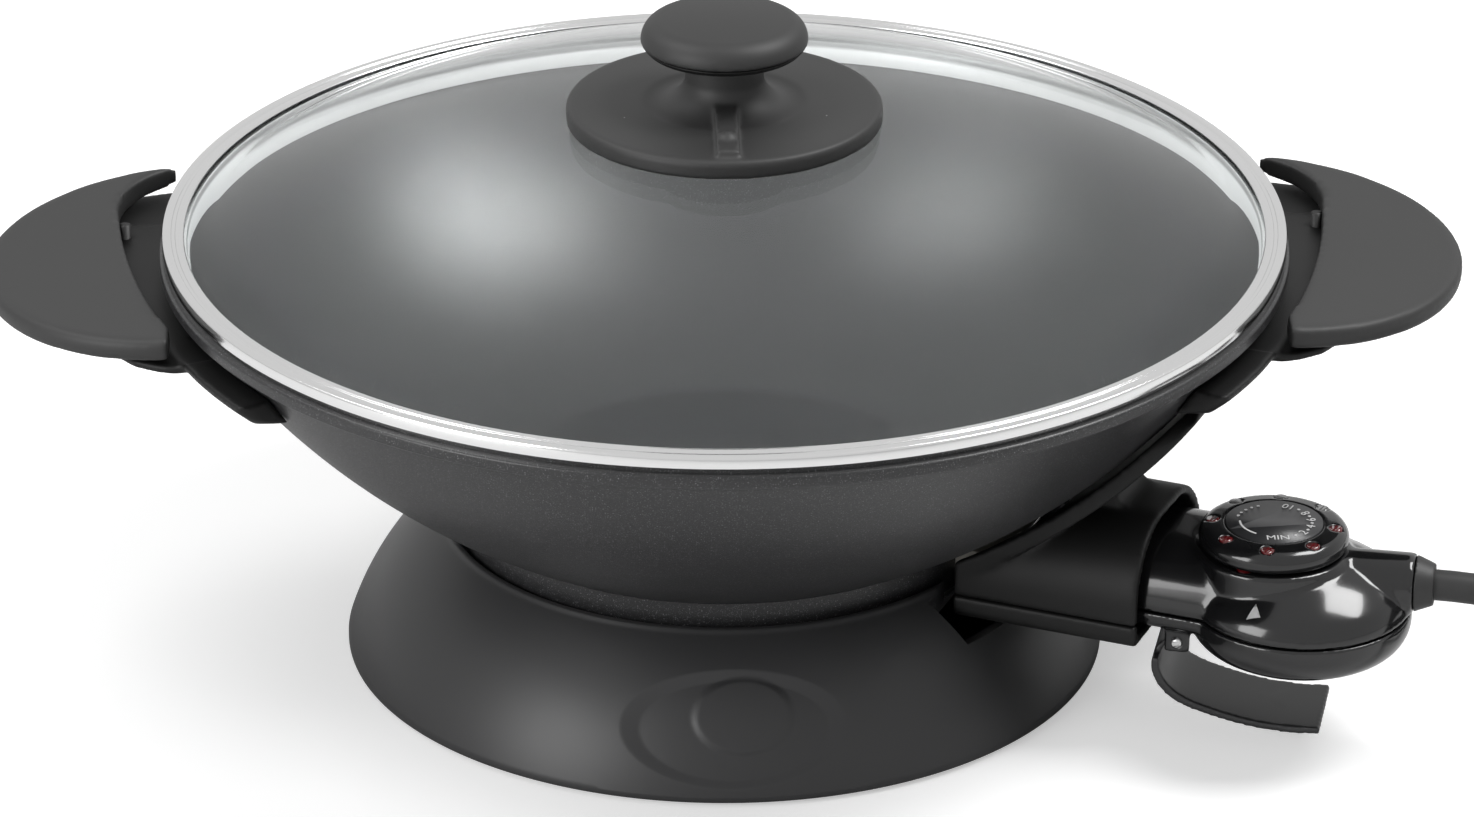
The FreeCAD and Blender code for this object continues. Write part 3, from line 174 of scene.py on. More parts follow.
def math_node(tree, operation, first, second):
    node = add(tree, "ShaderNodeMath", operation=operation)
    for index, value in enumerate((first, second)):
        if hasattr(value, "is_output"):
            tree.links.new(value, node.inputs[index])
        else:
            node.inputs[index].default_value = value
    return node.outputs[0]


def object_coordinates(tree):
    return tree.nodes.new("ShaderNodeTexCoord").outputs["Object"]


def grain_group():
    """Fine moulded grain with a broad, faint change of tone."""
    group, source, sink = new_group(
        "Moulded grain",
        [("Color", "NodeSocketColor", (0.05, 0.05, 0.05, 1.0)), ("Grain size", "NodeSocketFloat", 2600.0),
         ("Roughness", "NodeSocketFloat", 0.5), ("Variation", "NodeSocketFloat", 0.12)],
        [("Color", "NodeSocketColor"), ("Roughness", "NodeSocketFloat"), ("Height", "NodeSocketFloat")])
    place = object_coordinates(group)
    fine = add(group, "ShaderNodeTexNoise", in_Detail=2.0, in_Roughness=0.6)
    group.links.new(place, fine.inputs["Vector"])
    group.links.new(source.outputs["Grain size"], fine.inputs["Scale"])
    broad = add(group, "ShaderNodeTexNoise", in_Scale=28.0, in_Detail=3.0)
    group.links.new(place, broad.inputs["Vector"])
    swing = math_node(group, "SUBTRACT", broad.outputs["Fac"], 0.5)
    amount = math_node(group, "MULTIPLY", swing, source.outputs["Variation"])
    tone = math_node(group, "ADD", amount, 1.0)
    scale = add(group, "ShaderNodeVectorMath", operation="SCALE")
    group.links.new(source.outputs["Color"], scale.inputs[0])
    group.links.new(tone, scale.inputs["Scale"])
    rough = math_node(group, "ADD", source.outputs["Roughness"], math_node(group, "MULTIPLY", amount, 0.6))
    group.links.new(scale.outputs[0], sink.inputs["Color"])
    group.links.new(rough, sink.inputs["Roughness"])
    group.links.new(fine.outputs["Fac"], sink.inputs["Height"])
    return group


def speck_group():
    """Sprayed coating: a dark ground with fine pale specks of two sizes."""
    group, source, sink = new_group(
        "Speckled coating",
        [("Ground", "NodeSocketColor", (0.05, 0.05, 0.05, 1.0)),
         ("Specks", "NodeSocketColor", (0.4, 0.4, 0.4, 1.0)),
         ("Size", "NodeSocketFloat", 900.0), ("Share", "NodeSocketFloat", 0.35)],
        [("Color", "NodeSocketColor"), ("Roughness", "NodeSocketFloat"), ("Height", "NodeSocketFloat")])
    place = object_coordinates(group)
    layers = []
    for factor, reach in ((1.0, 0.26), (2.3, 0.30)):
        cells = add(group, "ShaderNodeTexVoronoi", feature="F1", in_Randomness=1.0)
        group.links.new(place, cells.inputs["Vector"])
        group.links.new(math_node(group, "MULTIPLY", source.outputs["Size"], factor), cells.inputs["Scale"])
        inside = math_node(group, "LESS_THAN", cells.outputs["Distance"], reach)
        pick = add(group, "ShaderNodeSeparateColor")
        group.links.new(cells.outputs["Color"], pick.inputs[0])
        chosen = math_node(group, "LESS_THAN", pick.outputs[0], source.outputs["Share"])
        strength = math_node(group, "MULTIPLY", pick.outputs[1], math_node(group, "MULTIPLY", inside, chosen))
        layers.append(strength)
    mask = math_node(group, "MAXIMUM", layers[0], layers[1])
    mix = add(group, "ShaderNodeMix", data_type="RGBA")
    group.links.new(mask, mix.inputs["Factor"])
    group.links.new(source.outputs["Ground"], mix.inputs[6])
    group.links.new(source.outputs["Specks"], mix.inputs[7])
    soft = add(group, "ShaderNodeTexNoise", in_Scale=1400.0, in_Detail=2.0)
    group.links.new(place, soft.inputs["Vector"])
    height = math_node(group, "ADD", math_node(group, "MULTIPLY", mask, 0.6), soft.outputs["Fac"])
    rough = math_node(group, "ADD", math_node(group, "MULTIPLY", soft.outputs["Fac"], 0.18), 0.26)
    group.links.new(mix.outputs[2], sink.inputs["Color"])
    group.links.new(rough, sink.inputs["Roughness"])
    group.links.new(height, sink.inputs["Height"])
    return group


def turned_metal_group():
    """Fine turning marks round the axis, for spun and polished steel."""
    group, source, sink = new_group(
        "Turned steel",
        [("Roughness", "NodeSocketFloat", 0.15), ("Lines", "NodeSocketFloat", 1800.0)],
        [("Roughness", "NodeSocketFloat"), ("Height", "NodeSocketFloat")])
    place = object_coordinates(group)
    split = add(group, "ShaderNodeSeparateXYZ")
    group.links.new(place, split.inputs[0])
    across = math_node(group, "POWER", split.outputs[0], 2.0)
    along = math_node(group, "POWER", split.outputs[1], 2.0)
    radius = math_node(group, "SQRT", math_node(group, "ADD", across, along), 0.0)
    join = add(group, "ShaderNodeCombineXYZ")
    group.links.new(radius, join.inputs[0])
    group.links.new(split.outputs[2], join.inputs[1])
    lines = add(group, "ShaderNodeTexNoise", in_Detail=1.0)
    group.links.new(join.outputs[0], lines.inputs["Vector"])
    group.links.new(source.outputs["Lines"], lines.inputs["Scale"])
    rough = math_node(group, "ADD", source.outputs["Roughness"],
                      math_node(group, "MULTIPLY", lines.outputs["Fac"], 0.1))
    group.links.new(rough, sink.inputs["Roughness"])
    group.links.new(lines.outputs["Fac"], sink.inputs["Height"])
    return group


groups = {}


def shader_group(name):
    makers = {"grain": grain_group, "specks": speck_group, "turned": turned_metal_group}
    if name not in groups:
        groups[name] = makers[name]()
    return groups[name]


def place_group(tree, name, **inputs):
    node = tree.nodes.new("ShaderNodeGroup")
    node.node_tree = shader_group(name)
    for key, value in inputs.items():
        node.inputs[key.replace("_", " ")].default_value = value
    return node


# Materials

speck_scale = 1350.0
speck_share = 0.45
# Ground and specks of the pan's inside, which the studio lights from above: darker than the outer coating, as
# painted shade over the whole inside
inside_shaded_ground = (0.008, 0.008, 0.0085, 1.0)
inside_shaded_specks = (0.06, 0.06, 0.062, 1.0)
skirt_low, skirt_high = 0.134, 0.1465
# Places along the skirt's height and the grey painted there: the pale bands are painted reflections of the
# studio lights, and the dark streak between them is painted shade
skirt_painted_reflection_bands = ((0.0, 0.80), (0.38, 0.86), (0.46, 0.34), (0.56, 0.42), (0.66, 0.78), (1.0, 0.62))


def new_material(name, **sockets):
    """Material with a Principled BSDF, whose plain sockets are set by name."""
    material = bpy.data.materials.new(name)
    material.use_nodes = True
    tree = material.node_tree
    shader = tree.nodes["Principled BSDF"]
    for key, value in sockets.items():
        shader.inputs[key.replace("_", " ")].default_value = value
    return material, tree, shader


def bump(tree, shader, height, strength, distance):
    node = add(tree, "ShaderNodeBump", in_Strength=strength, in_Distance=distance)
    tree.links.new(height, node.inputs["Height"])
    tree.links.new(node.outputs["Normal"], shader.inputs["Normal"])


def plastic(name, colour, roughness, grain_size, depth, strength=0.5, variation=0.12, **sockets):
    """Moulded plastic; depth is that of its grain in m."""
    material, tree, shader = new_material(name, **sockets)
    grain = place_group(
        tree, "grain", Color=colour, Roughness=roughness, Grain_size=grain_size, Variation=variation)
    tree.links.new(grain.outputs["Color"], shader.inputs["Base Color"])
    tree.links.new(grain.outputs["Roughness"], shader.inputs["Roughness"])
    bump(tree, shader, grain.outputs["Height"], strength, depth)
    return material


def coating(name, ground, specks, **sockets):
    """Non-stick coating with specks that cover part of a dark ground."""
    material, tree, shader = new_material(name, **sockets)
    spray = place_group(tree, "specks", Ground=ground, Specks=specks, Size=speck_scale, Share=speck_share)
    tree.links.new(spray.outputs["Color"], shader.inputs["Base Color"])
    tree.links.new(spray.outputs["Roughness"], shader.inputs["Roughness"])
    bump(tree, shader, spray.outputs["Height"], 0.5, 0.00006)
    return material


def metal(name, colour, roughness, lines=1800.0, depth=0.000004):
    material, tree, shader = new_material(name, Base_Color=colour, Metallic=1.0)
    turned = place_group(tree, "turned", Roughness=roughness, Lines=lines)
    tree.links.new(turned.outputs["Roughness"], shader.inputs["Roughness"])
    bump(tree, shader, turned.outputs["Height"], 0.4, depth)
    return material


def skirt_painted_reflection():
    """Satin inner skirt of the lid, painted pale as a reflection of the studio lights, with a painted shade
    streak along its height.
    """
    material, tree, shader = new_material("Skirt steel with painted reflection", Metallic=0.25, Roughness=0.38)
    split = add(tree, "ShaderNodeSeparateXYZ")
    tree.links.new(object_coordinates(tree), split.inputs[0])
    ramp = add(tree, "ShaderNodeValToRGB")
    level = add(tree, "ShaderNodeMapRange", in_From_Min=skirt_low, in_From_Max=skirt_high)
    tree.links.new(split.outputs[2], level.inputs["Value"])
    tree.links.new(level.outputs[0], ramp.inputs[0])
    bands = ramp.color_ramp.elements
    while len(bands) < len(skirt_painted_reflection_bands):
        bands.new(0.5)
    for band, (place, grey) in zip(bands, skirt_painted_reflection_bands):
        band.position = place
        band.color = (grey, grey, grey, 1.0)
    turned = place_group(tree, "turned", Roughness=0.34)
    tree.links.new(ramp.outputs[0], shader.inputs["Base Color"])
    tree.links.new(turned.outputs["Roughness"], shader.inputs["Roughness"])
    bump(tree, shader, turned.outputs["Height"], 0.3, 0.000004)
    return material


def clear_glass(name, colour):
    """Tempered glass that lets the studio light through to what lies under it."""
    material, tree, shader = new_material(name, Base_Color=colour, Roughness=0.0, IOR=1.12)
    shader.inputs["Transmission Weight"].default_value = 1.0
    output = tree.nodes["Material Output"]
    path = tree.nodes.new("ShaderNodeLightPath")
    clear = add(tree, "ShaderNodeBsdfTransparent", in_Color=(0.9, 0.92, 0.92, 1.0))
    mix = tree.nodes.new("ShaderNodeMixShader")
    tree.links.new(path.outputs["Is Shadow Ray"], mix.inputs[0])
    tree.links.new(shader.outputs[0], mix.inputs[1])
    tree.links.new(clear.outputs[0], mix.inputs[2])
    tree.links.new(mix.outputs[0], output.inputs["Surface"])
    return material


def make_finishes(colours):
    """Every finish of the wok, by its plain name."""
    made = {}
    made["coating"] = coating("Speckled coating", colours.coating, colours.specks)
    made["coating_inside"] = coating(
        "Speckled coating with painted shade inside", inside_shaded_ground, inside_shaded_specks, Specular_IOR_Level=0.75)
    made["black_steel"] = metal("Blackened steel", (0.05, 0.05, 0.05, 1.0), 0.45)
    made["base"] = plastic("Satin base plastic", colours.base, 0.42, 3200.0, 0.00003)
    made["grips"] = plastic("Matt grip plastic", colours.grips, 0.55, 2400.0, 0.00005)
    made["guards"] = plastic("Phenolic guard", colours.guards, 0.5, 2400.0, 0.00004, Specular_IOR_Level=0.3)
    made["probe"] = plastic(
        "Glossy probe plastic", colours.probe, 0.16, 4000.0, 0.000004, 0.2, Coat_Weight=0.3)
    made["lever"] = plastic("Satin lever plastic", colours.lever, 0.38, 3000.0, 0.00002)
    made["face"] = plastic("Dial face", (0.03, 0.03, 0.032, 1.0), 0.35, 3000.0, 0.00001)
    made["cord"] = plastic("Cord sheath", (0.02, 0.02, 0.02, 1.0), 0.5, 1800.0, 0.00004)
    made["rubber"] = plastic("Foot rubber", (0.02, 0.02, 0.02, 1.0), 0.75, 1600.0, 0.00006)
    made["silicone"] = plastic("Seal silicone", (0.08, 0.08, 0.08, 1.0), 0.6, 1600.0, 0.00004)
    made["ceramic"] = plastic("Ceramic", (0.72, 0.69, 0.62, 1.0), 0.7, 1800.0, 0.00006)
    made["skirt"] = skirt_painted_reflection()
    made["steel"] = metal("Brushed steel", (0.62, 0.62, 0.62, 1.0), 0.28)
    made["chrome"] = metal("Polished rim steel", (0.78, 0.78, 0.78, 1.0), 0.1, 2600.0, 0.000002)
    made["heater"] = metal("Heater sheath", (0.3, 0.28, 0.26, 1.0), 0.45, 1200.0, 0.00001)
    made["glass"] = clear_glass("Tempered glass", (0.97, 0.985, 0.985, 1.0))
    # Red windows: painted glow of the indicator lamp; unlit windows: the same windows without that glow
    made["windows"] = plastic("Window with painted lamp glow", colours.windows, 0.12, 3000.0, 0.000002, 0.2, Coat_Weight=0.6)
    made["windows_off"] = plastic(
        "Unlit window", (0.16, 0.16, 0.16, 1.0), 0.15, 3000.0, 0.000002, 0.2, Coat_Weight=0.6)
    made["print"] = plastic("White print", colours.print_white, 0.5, 3000.0, 0.000004, 0.2)
    return made


finishes = {}

finish_of_node = {
    "base_shell": "base", "base_floor": "base", "base_feet": "rubber", "base_screws": "steel",
    "seat_plate": "steel", "seat_screws": "steel", "pan_bowl": "coating", "heating_element": "heater",
    "terminal_block": "ceramic", "terminal_pins": "steel", "bottom_cover": "steel", "cover_screw": "steel",
    "handle_guard_left": "guards", "handle_guard_right": "guards", "handle_grip_left": "grips",
    "handle_grip_right": "grips", "handle_screws": "black_steel", "guard_screws": "black_steel",
    "probe_shroud_upper": "guards", "probe_shroud_lower": "guards", "shroud_screws": "steel",
    "lid_glass": "glass", "lid_rim": "chrome", "lid_bush": "silicone", "vent_dial": "grips",
    "vent_shutter": "steel", "knob": "grips", "knob_base": "guards", "knob_washer": "steel",
    "knob_screw": "steel",
    "probe_top_shell": "probe", "probe_bottom_shell": "probe", "probe_screws": "steel",
    "thermostat_switch": "ceramic", "sensor_rod": "steel", "contact_sockets": "steel",
    "indicator_lamp": "windows",
    "lever_pin": "steel", "lever_spring": "steel", "cord_gland": "cord", "mains_plug": "cord",
    "plug_pins": "steel", "release_lever": "lever", "dial_ring": "probe", "dial_face": "face",
    "dial_windows": "windows", "dial_shaft": "steel",
}


def paint(obj, finish):
    obj.data.materials.clear()
    obj.data.materials.append(finishes[finish])


def paint_node(node):
    obj = frame["nodes"][node]
    if not obj.material_slots:
        obj.data.materials.append(None)
    for slot in obj.material_slots:
        slot.material = finishes[finish_of_node[node]]


def body_of_node(node):
    return frame["nodes"][node]["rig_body"]


# Angle in degrees above which an edge of a copied or spun piece stays hard
hard_edge = 32.0


def smooth_copy(node, name):
    """Merged copy of a node's mesh with smooth shading between its real edges; it stands for the node."""
    deselect()
    source = frame["nodes"][node]
    source.select_set(True)
    bpy.context.view_layer.objects.active = source
    bpy.ops.object.duplicate(linked=False)
    copy = bpy.context.view_layer.objects.active
    copy.name = name
    copy.parent = None
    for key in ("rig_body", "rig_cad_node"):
        if key in copy:
            del copy[key]
    only(copy)
    bpy.ops.object.mode_set(mode="EDIT")
    bpy.ops.mesh.select_all(action="SELECT")
    bpy.ops.mesh.remove_doubles(threshold=0.000002)
    bpy.ops.object.mode_set(mode="OBJECT")
    bpy.ops.object.shade_smooth_by_angle(angle=math.radians(hard_edge))
    paint(copy, finish_of_node[node])
    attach(copy, body_of_node(node))
    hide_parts(node)
    return copy


def apply_modifier(obj, kind, **settings):
    only(obj)
    modifier = obj.modifiers.new(kind.lower(), kind)
    for key, value in settings.items():
        setattr(modifier, key, value)
    bpy.ops.object.modifier_apply(modifier=modifier.name)


# Outer edge of the pocket's floor from front to back: degrees round the wok's axis and radius in mm
pocket_edge = (
    (-22.0, 185.0), (-21.0, 190.0), (-19.0, 196.0), (-16.0, 200.0), (-12.0, 203.0), (0.0, 203.0),
    (12.0, 207.0), (16.0, 206.0), (19.0, 203.0), (21.0, 194.0), (22.0, 187.0))
pocket_seat = 182.0
pocket_steps = 20
pocket_below_grip = 0.0094
pocket_thickness = 0.0032


def pocket_floor(side):
    """Plate in the guard that closes the pocket between rim and grip from below; side is 1 or -1."""
    last = pocket_edge[-1][0]
    outline = list(pocket_edge)
    outline += [(last - 2 * last / pocket_steps * step, pocket_seat) for step in range(pocket_steps + 1)]
    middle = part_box("handle_grip_right")[1][2] - pocket_below_grip - pocket_thickness / 2
    deselect()
    bpy.ops.mesh.primitive_circle_add(vertices=len(outline), radius=1.0, fill_type="NGON", location=(0, 0, 0))
    plate = bpy.context.object
    for vertex, (degrees, radius) in zip(plate.data.vertices, outline):
        angle = math.radians(degrees)
        reach = radius / 1000
        vertex.co = (side * reach * math.cos(angle), reach * math.sin(angle), middle)
    apply_modifier(plate, "SOLIDIFY", thickness=pocket_thickness, offset=0.0)
    return plate


def soften(node, voxel, passes, keep):
    """Moulded look for a node: its edges flow into each other as from a polished mould."""
    piece = smooth_copy(node, node + "_finished")
    if node in floored:
        plate = pocket_floor(floored[node])
        deselect()
        plate.select_set(True)
        piece.select_set(True)
        bpy.context.view_layer.objects.active = piece
        bpy.ops.object.join()
    apply_modifier(piece, "REMESH", mode="VOXEL", voxel_size=voxel, use_smooth_shade=True)
    apply_modifier(piece, "SMOOTH", factor=0.5, iterations=passes)
    apply_modifier(piece, "DECIMATE", ratio=keep)
    bpy.ops.object.shade_smooth()
    return piece


def arc(first, last, rise, count):
    """Points from first to last, in mm, on the arc that stands out to the right of the way by rise."""
    start, end = Vector(first), Vector(last)
    chord = end - start
    size = chord.length
    radius = (size * size / 4 + rise * rise) / (2 * abs(rise))
    side = Vector((chord.y, -chord.x)) / size * (1 if rise > 0 else -1)
    centre = (start + end) / 2 + side * (abs(rise) - radius)
    half = math.asin(size / 2 / radius)
    along = chord / size
    points = []
    for index in range(count + 1):
        turn = half * (2 * index / count - 1)
        points.append(tuple(centre + side * radius * math.cos(turn) + along * radius * math.sin(turn)))
    return points


# Radius in mm that stands for the axis, where a profile meets it
axis_radius = 0.5


def turned_piece(node, profile, steps, round_width=0.0, angle=hard_edge):
    """Closed profile in mm spun round the wok's axis by extruding one circle; it stands for the node."""
    deselect()
    start = profile[0]
    bpy.ops.mesh.primitive_circle_add(vertices=steps, radius=max(start[0], axis_radius) / 1000,
                                      location=(0, 0, start[1] / 1000))
    obj = bpy.context.object
    obj.name = node + "_finished"
    apply_place(obj)
    bpy.ops.object.mode_set(mode="EDIT")
    bpy.ops.mesh.select_all(action="SELECT")
    here = (max(start[0], axis_radius), start[1])
    for radius, height in profile[1:] + [profile[0]]:
        there = (max(radius, axis_radius), height)
        rise = (there[1] - here[1]) / 1000
        bpy.ops.mesh.extrude_region_move(TRANSFORM_OT_translate={"value": (0, 0, rise)})
        grow = there[0] / here[0]
        bpy.ops.transform.resize(value=(grow, grow, 1), center_override=(0, 0, 0))
        here = there
    bpy.ops.mesh.select_all(action="SELECT")
    bpy.ops.mesh.remove_doubles(threshold=0.000005)
    bpy.ops.mesh.normals_make_consistent(inside=False)
    bpy.ops.mesh.select_all(action="DESELECT")
    bpy.ops.object.mode_set(mode="OBJECT")
    if round_width:
        apply_modifier(obj, "BEVEL", width=round_width / 1000, segments=3, limit_method="ANGLE",
                       angle_limit=math.radians(28.0))
    only(obj)
    bpy.ops.object.shade_smooth_by_angle(angle=math.radians(angle))
    paint(obj, finish_of_node[node])
    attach(obj, body_of_node(node))
    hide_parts(node)
    return obj


def cut_away(obj, low, high, turn):
    """Boxes the corners low to high, in mm and turned about the axis, out of a piece."""
    deselect()
    size = [(b - a) / 1000 for a, b in zip(low, high)]
    middle = Vector([(a + b) / 2000 for a, b in zip(low, high)])
    bpy.ops.mesh.primitive_cube_add(size=1, location=middle)
    tool = bpy.context.object
    tool.scale = size
    apply_place(tool)
    tool.rotation_euler = (0, 0, turn)
    apply_place(tool)
    apply_modifier(obj, "BOOLEAN", operation="DIFFERENCE", object=tool, solver="EXACT")
    bpy.data.objects.remove(tool)


# Lowest place and greatest radius, in m, of the faces that belong to the pan's inside, which get the darker
# coating with painted shade
inside_low = 0.0565
inside_radius = 0.1725


def make_pan_piece():
    under = [(0, 53.5), (84, 53.5), (84, 40), (88, 40)]
    wall = arc((88, 53.5), (176.5, 136.5), rise=8.0, count=40)
    rim = [(179.3, 136.5), (180, 137.2), (180, 140.3), (179.3, 141), (174.0, 141), (173.3, 140.3)]
    inside = arc((173.3, 137.5), (62, 57), rise=-15.5, count=44)
    profile = under + wall + rim + inside + [(30, 57), (0, 57)]
    pan = turned_piece("pan_bowl", profile, steps=288, round_width=0.35)
    # The inside gets a darker copy of the same coating: painted shade
    pan.data.materials.append(finishes["coating_inside"])
    for face in pan.data.polygons:
        reach = math.hypot(face.center.x, face.center.y)
        if face.normal.z > 0.05 and face.center.z > inside_low and reach < inside_radius:
            face.material_index = 1


# Bearing of the probe round the wok's axis, and the corners in mm of the notch for its shroud
probe_bearing = -24.0
shroud_notch = ((86, -39, 32), (123, 39, 60))


def make_base_piece():
    skirt = arc((123, 3), (92.5, 45.5), rise=4.0, count=40)
    lip = arc((92.5, 45.5), (89.6, 45.5), rise=1.0, count=6)[1:]
    seat = [(89.6, 39), (76.1, 39), (76.1, 36.5), (91.9, 36.5)]
    inside = arc((91.9, 41.9), (120.4, 5), rise=-4.0, count=10)
    profile = [(123, 1.5)] + skirt + lip + seat + inside + [(120.4, 1.5)]
    shell = turned_piece("base_shell", profile, steps=320)
    badge_dish(shell)
    cut_away(shell, *shroud_notch, turn=math.radians(probe_bearing))
    only(shell)
    bpy.ops.object.shade_smooth_by_angle(angle=math.radians(hard_edge))


# The badge place in m: middle and half sizes of its oval and of its disc, in width and in height,
# its depth, and how far back the front of the base reaches
oval_middle, oval_size = (0.0, 0.0215), (0.0355, 0.0158)
disc_middle, disc_size = (0.003, 0.0255), (0.0165, 0.0105)
badge_depth = 0.0009
front_limit = -0.085


def share(value):
    return min(max(value, 0.0), 1.0)


def badge_dish(shell):
    """Shallow oval dish on the front with a raised plain disc, where a badge could go."""
    only(shell)
    bpy.ops.object.mode_set(mode="EDIT")
    bpy.ops.mesh.select_all(action="DESELECT")
    bpy.ops.object.mode_set(mode="OBJECT")
    for face in shell.data.polygons:
        spot = face.center
        in_front = spot.y < front_limit and face.normal.y < -0.2
        face.select = in_front and abs(spot.x) < 0.043 and 0.003 < spot.z < 0.044
    bpy.ops.object.mode_set(mode="EDIT")
    bpy.ops.mesh.subdivide(number_cuts=2)
    bpy.ops.object.mode_set(mode="OBJECT")
    group = shell.vertex_groups.new(name="dish")
    for vertex in shell.data.vertices:
        spot = vertex.co
        if spot.y > front_limit or vertex.normal.y > -0.2:
            continue
        oval = math.hypot((spot.x - oval_middle[0]) / oval_size[0], (spot.z - oval_middle[1]) / oval_size[1])
        disc = math.hypot((spot.x - disc_middle[0]) / disc_size[0], (spot.z - disc_middle[1]) / disc_size[1])
        weight = share((1.0 - oval) / 0.16) * (0.35 + 0.65 * share((disc - 0.86) / 0.14))
        if weight > 0.001:
            group.add([vertex.index], weight, "REPLACE")
    apply_modifier(shell, "DISPLACE", strength=-badge_depth, mid_level=0.0, vertex_group="dish")


# The glass dome in mm
dome_radius = 406.0
dome_top = 184
glass_thickness = 3.7


def dome_height(radius, ball):
    """Height in mm, at a radius, of a ball about the middle of the glass dome."""
    return dome_top - dome_radius + math.sqrt(ball ** 2 - radius ** 2)


def make_lid_pieces():
    top = [(radius, dome_height(radius, dome_radius)) for radius in range(10, 171, 8)] + [(171.5, 146)]
    low = [(radius, dome_height(radius, dome_radius - glass_thickness)) for radius in range(10, 167, 8)]
    hole = [(6.5, low[0][1] + 0.07), (6.5, top[0][1] + 0.07)]
    edge = [(176.8, 146), (177.4, 145.4), (177.4, 142.9), (176.8, 142.3), (169.8, 142.3)]
    turned_piece("lid_glass", hole + top + edge + low[::-1], steps=256)
    band = [(178.2, 142.8), (179, 143.2), (179, 146.2), (178.76, 146.76), (178.2, 147), (176.2, 147),
            (175.9, 146.5), (174.9, 146.5), (174.6, 147), (172.5, 147), (172, 146.6), (172, 146.1),
            (177.6, 146.1), (177.6, 142.2), (171, 142.2)]
    skirt = [(169.7, 134), (170.4, 134), (171.8, 141), (177.6, 141)]
    rim = turned_piece("lid_rim", band + skirt, steps=288, round_width=0.12, angle=25.0)
    # The inner skirt gets the steel with painted reflection bands and a painted shade streak
    rim.data.materials.append(finishes["skirt"])
    for face in rim.data.polygons:
        if face.center.z < 0.1424 and math.hypot(face.center.x, face.center.y) < 0.1716:
            face.material_index = 1


class WOK_OT_turned_pieces(bpy.types.Operator):
    """Pan, base, glass and steel rim, each spun from its profile"""
    bl_idname = "wok.turned_pieces"
    bl_label = "Turned pieces"

    def execute(self, context):
        make_pan_piece()
        make_base_piece()
        make_lid_pieces()
        return {"FINISHED"}


class WOK_OT_moulded_pieces(bpy.types.Operator):
    """Grips, guards, shroud, probe housing, lever, knob and vent dial with softened edges"""
    bl_idname = "wok.moulded_pieces"
    bl_label = "Moulded pieces"

    def execute(self, context):
        for node, (voxel, passes, keep) in moulded.items():
            soften(node, voxel / 1000, passes, keep)
        unlit_windows()
        return {"FINISHED"}


def unlit_windows():
    """The dial's windows at the back get the unlit finish; the front ones keep the red, a painted glow of the
    indicator lamp.
    """
    windows = bpy.data.objects["dial_windows_finished"]
    windows.data.materials.append(finishes["windows_off"])
    low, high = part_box("dial_windows")
    for face in windows.data.polygons:
        if face.center.y > (low[1] + high[1]) / 2 + 0.004:
            face.material_index = 1


# Voxel size in mm, smoothing passes and share of faces kept
moulded = {
    "handle_grip_left": (0.9, 14, 0.4), "handle_grip_right": (0.9, 14, 0.4),
    "handle_guard_left": (0.9, 10, 0.4), "handle_guard_right": (0.9, 10, 0.4),
    "probe_shroud_upper": (0.8, 14, 0.5), "probe_shroud_lower": (0.8, 6, 0.5),
    "probe_top_shell": (0.7, 22, 0.5), "probe_bottom_shell": (0.7, 12, 0.5),
    "release_lever": (0.6, 6, 0.5), "dial_ring": (0.45, 6, 0.5), "vent_dial": (0.7, 9, 0.5),
    "knob": (0.6, 10, 0.5), "knob_base": (0.5, 4, 0.5), "cord_gland": (0.4, 5, 0.6),
    "mains_plug": (0.6, 8, 0.5),
}
# Guards that get a pocket floor, with their side of the wok
floored = {"handle_guard_right": 1, "handle_guard_left": -1}
# Nodes whose pieces are spun from a profile
spun = ("pan_bowl", "base_shell", "lid_glass", "lid_rim")


# Printed marks, all in m

print_thickness = 0.00012
number_size = 0.0042
number_circle = 0.0118
dot_radius = 0.00052
number_bearings = (("MIN", 0), ("2", 45), ("4", 70), ("6", 94), ("8", 118), ("10", 152))
dot_bearings = (29, 57, 82, 106, 134, -112, -124, -136, -148, -160)
arc_radius = 0.0105
arc_growth = 1.06
# Bearing, distance from the dial's middle and size of the pointer on the probe
pointer_bearing, pointer_distance, pointer_radius = -17, 0.0288, 0.0026
arrow_radius = 0.0016
arrow_place = (0.0305, -0.0137, 0.18745)


def flat_mark(name, obj, place, turn, height, body):
    """Makes a flat shape a thin mesh, lays it at its place and gives it the print's finish."""
    only(obj)
    if obj.type != "MESH":
        bpy.ops.object.convert(target="MESH")
        obj = bpy.context.object
    obj.name = name
    obj.rotation_euler = (0, 0, turn)
    obj.location = (place[0], place[1], height)
    apply_place(obj)
    apply_modifier(obj, "SOLIDIFY", thickness=print_thickness, offset=1.0)
    paint(obj, "print")
    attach(obj, body)
    return obj


def printed_word(name, text, place, turn, height, body):
    deselect()
    bpy.ops.object.text_add(location=(0, 0, 0))
    obj = bpy.context.object
    obj.data.body = text
    obj.data.size = number_size
    obj.data.align_x = "CENTER"
    obj.data.align_y = "CENTER"
    return flat_mark(name, obj, place, turn, height, body)


def printed_disc(name, sides, radius, place, turn, height, body):
    deselect()
    bpy.ops.mesh.primitive_circle_add(vertices=sides, radius=radius, fill_type="NGON", location=(0, 0, 0))
    return flat_mark(name, bpy.context.object, place, turn, height, body)


def arc_line():
    """Flat ring about the origin, cut down to the part that marks the low heats."""
    deselect()
    bpy.ops.mesh.primitive_circle_add(vertices=96, radius=arc_radius, location=(0, 0, 0))
    line = bpy.context.object
    bpy.ops.object.mode_set(mode="EDIT")
    bpy.ops.mesh.extrude_region_move()
    bpy.ops.transform.resize(value=(arc_growth, arc_growth, 1), center_override=(0, 0, 0))
    bpy.ops.mesh.select_all(action="DESELECT")
    bpy.ops.object.mode_set(mode="OBJECT")
    for face in line.data.polygons:
        bearing = math.degrees(math.atan2(face.center.x, -face.center.y))
        face.select = not -92 < bearing < -38
    bpy.ops.object.mode_set(mode="EDIT")
    bpy.ops.mesh.select_mode(type="FACE")
    bpy.ops.mesh.delete(type="FACE")
    bpy.ops.object.mode_set(mode="OBJECT")
    return line


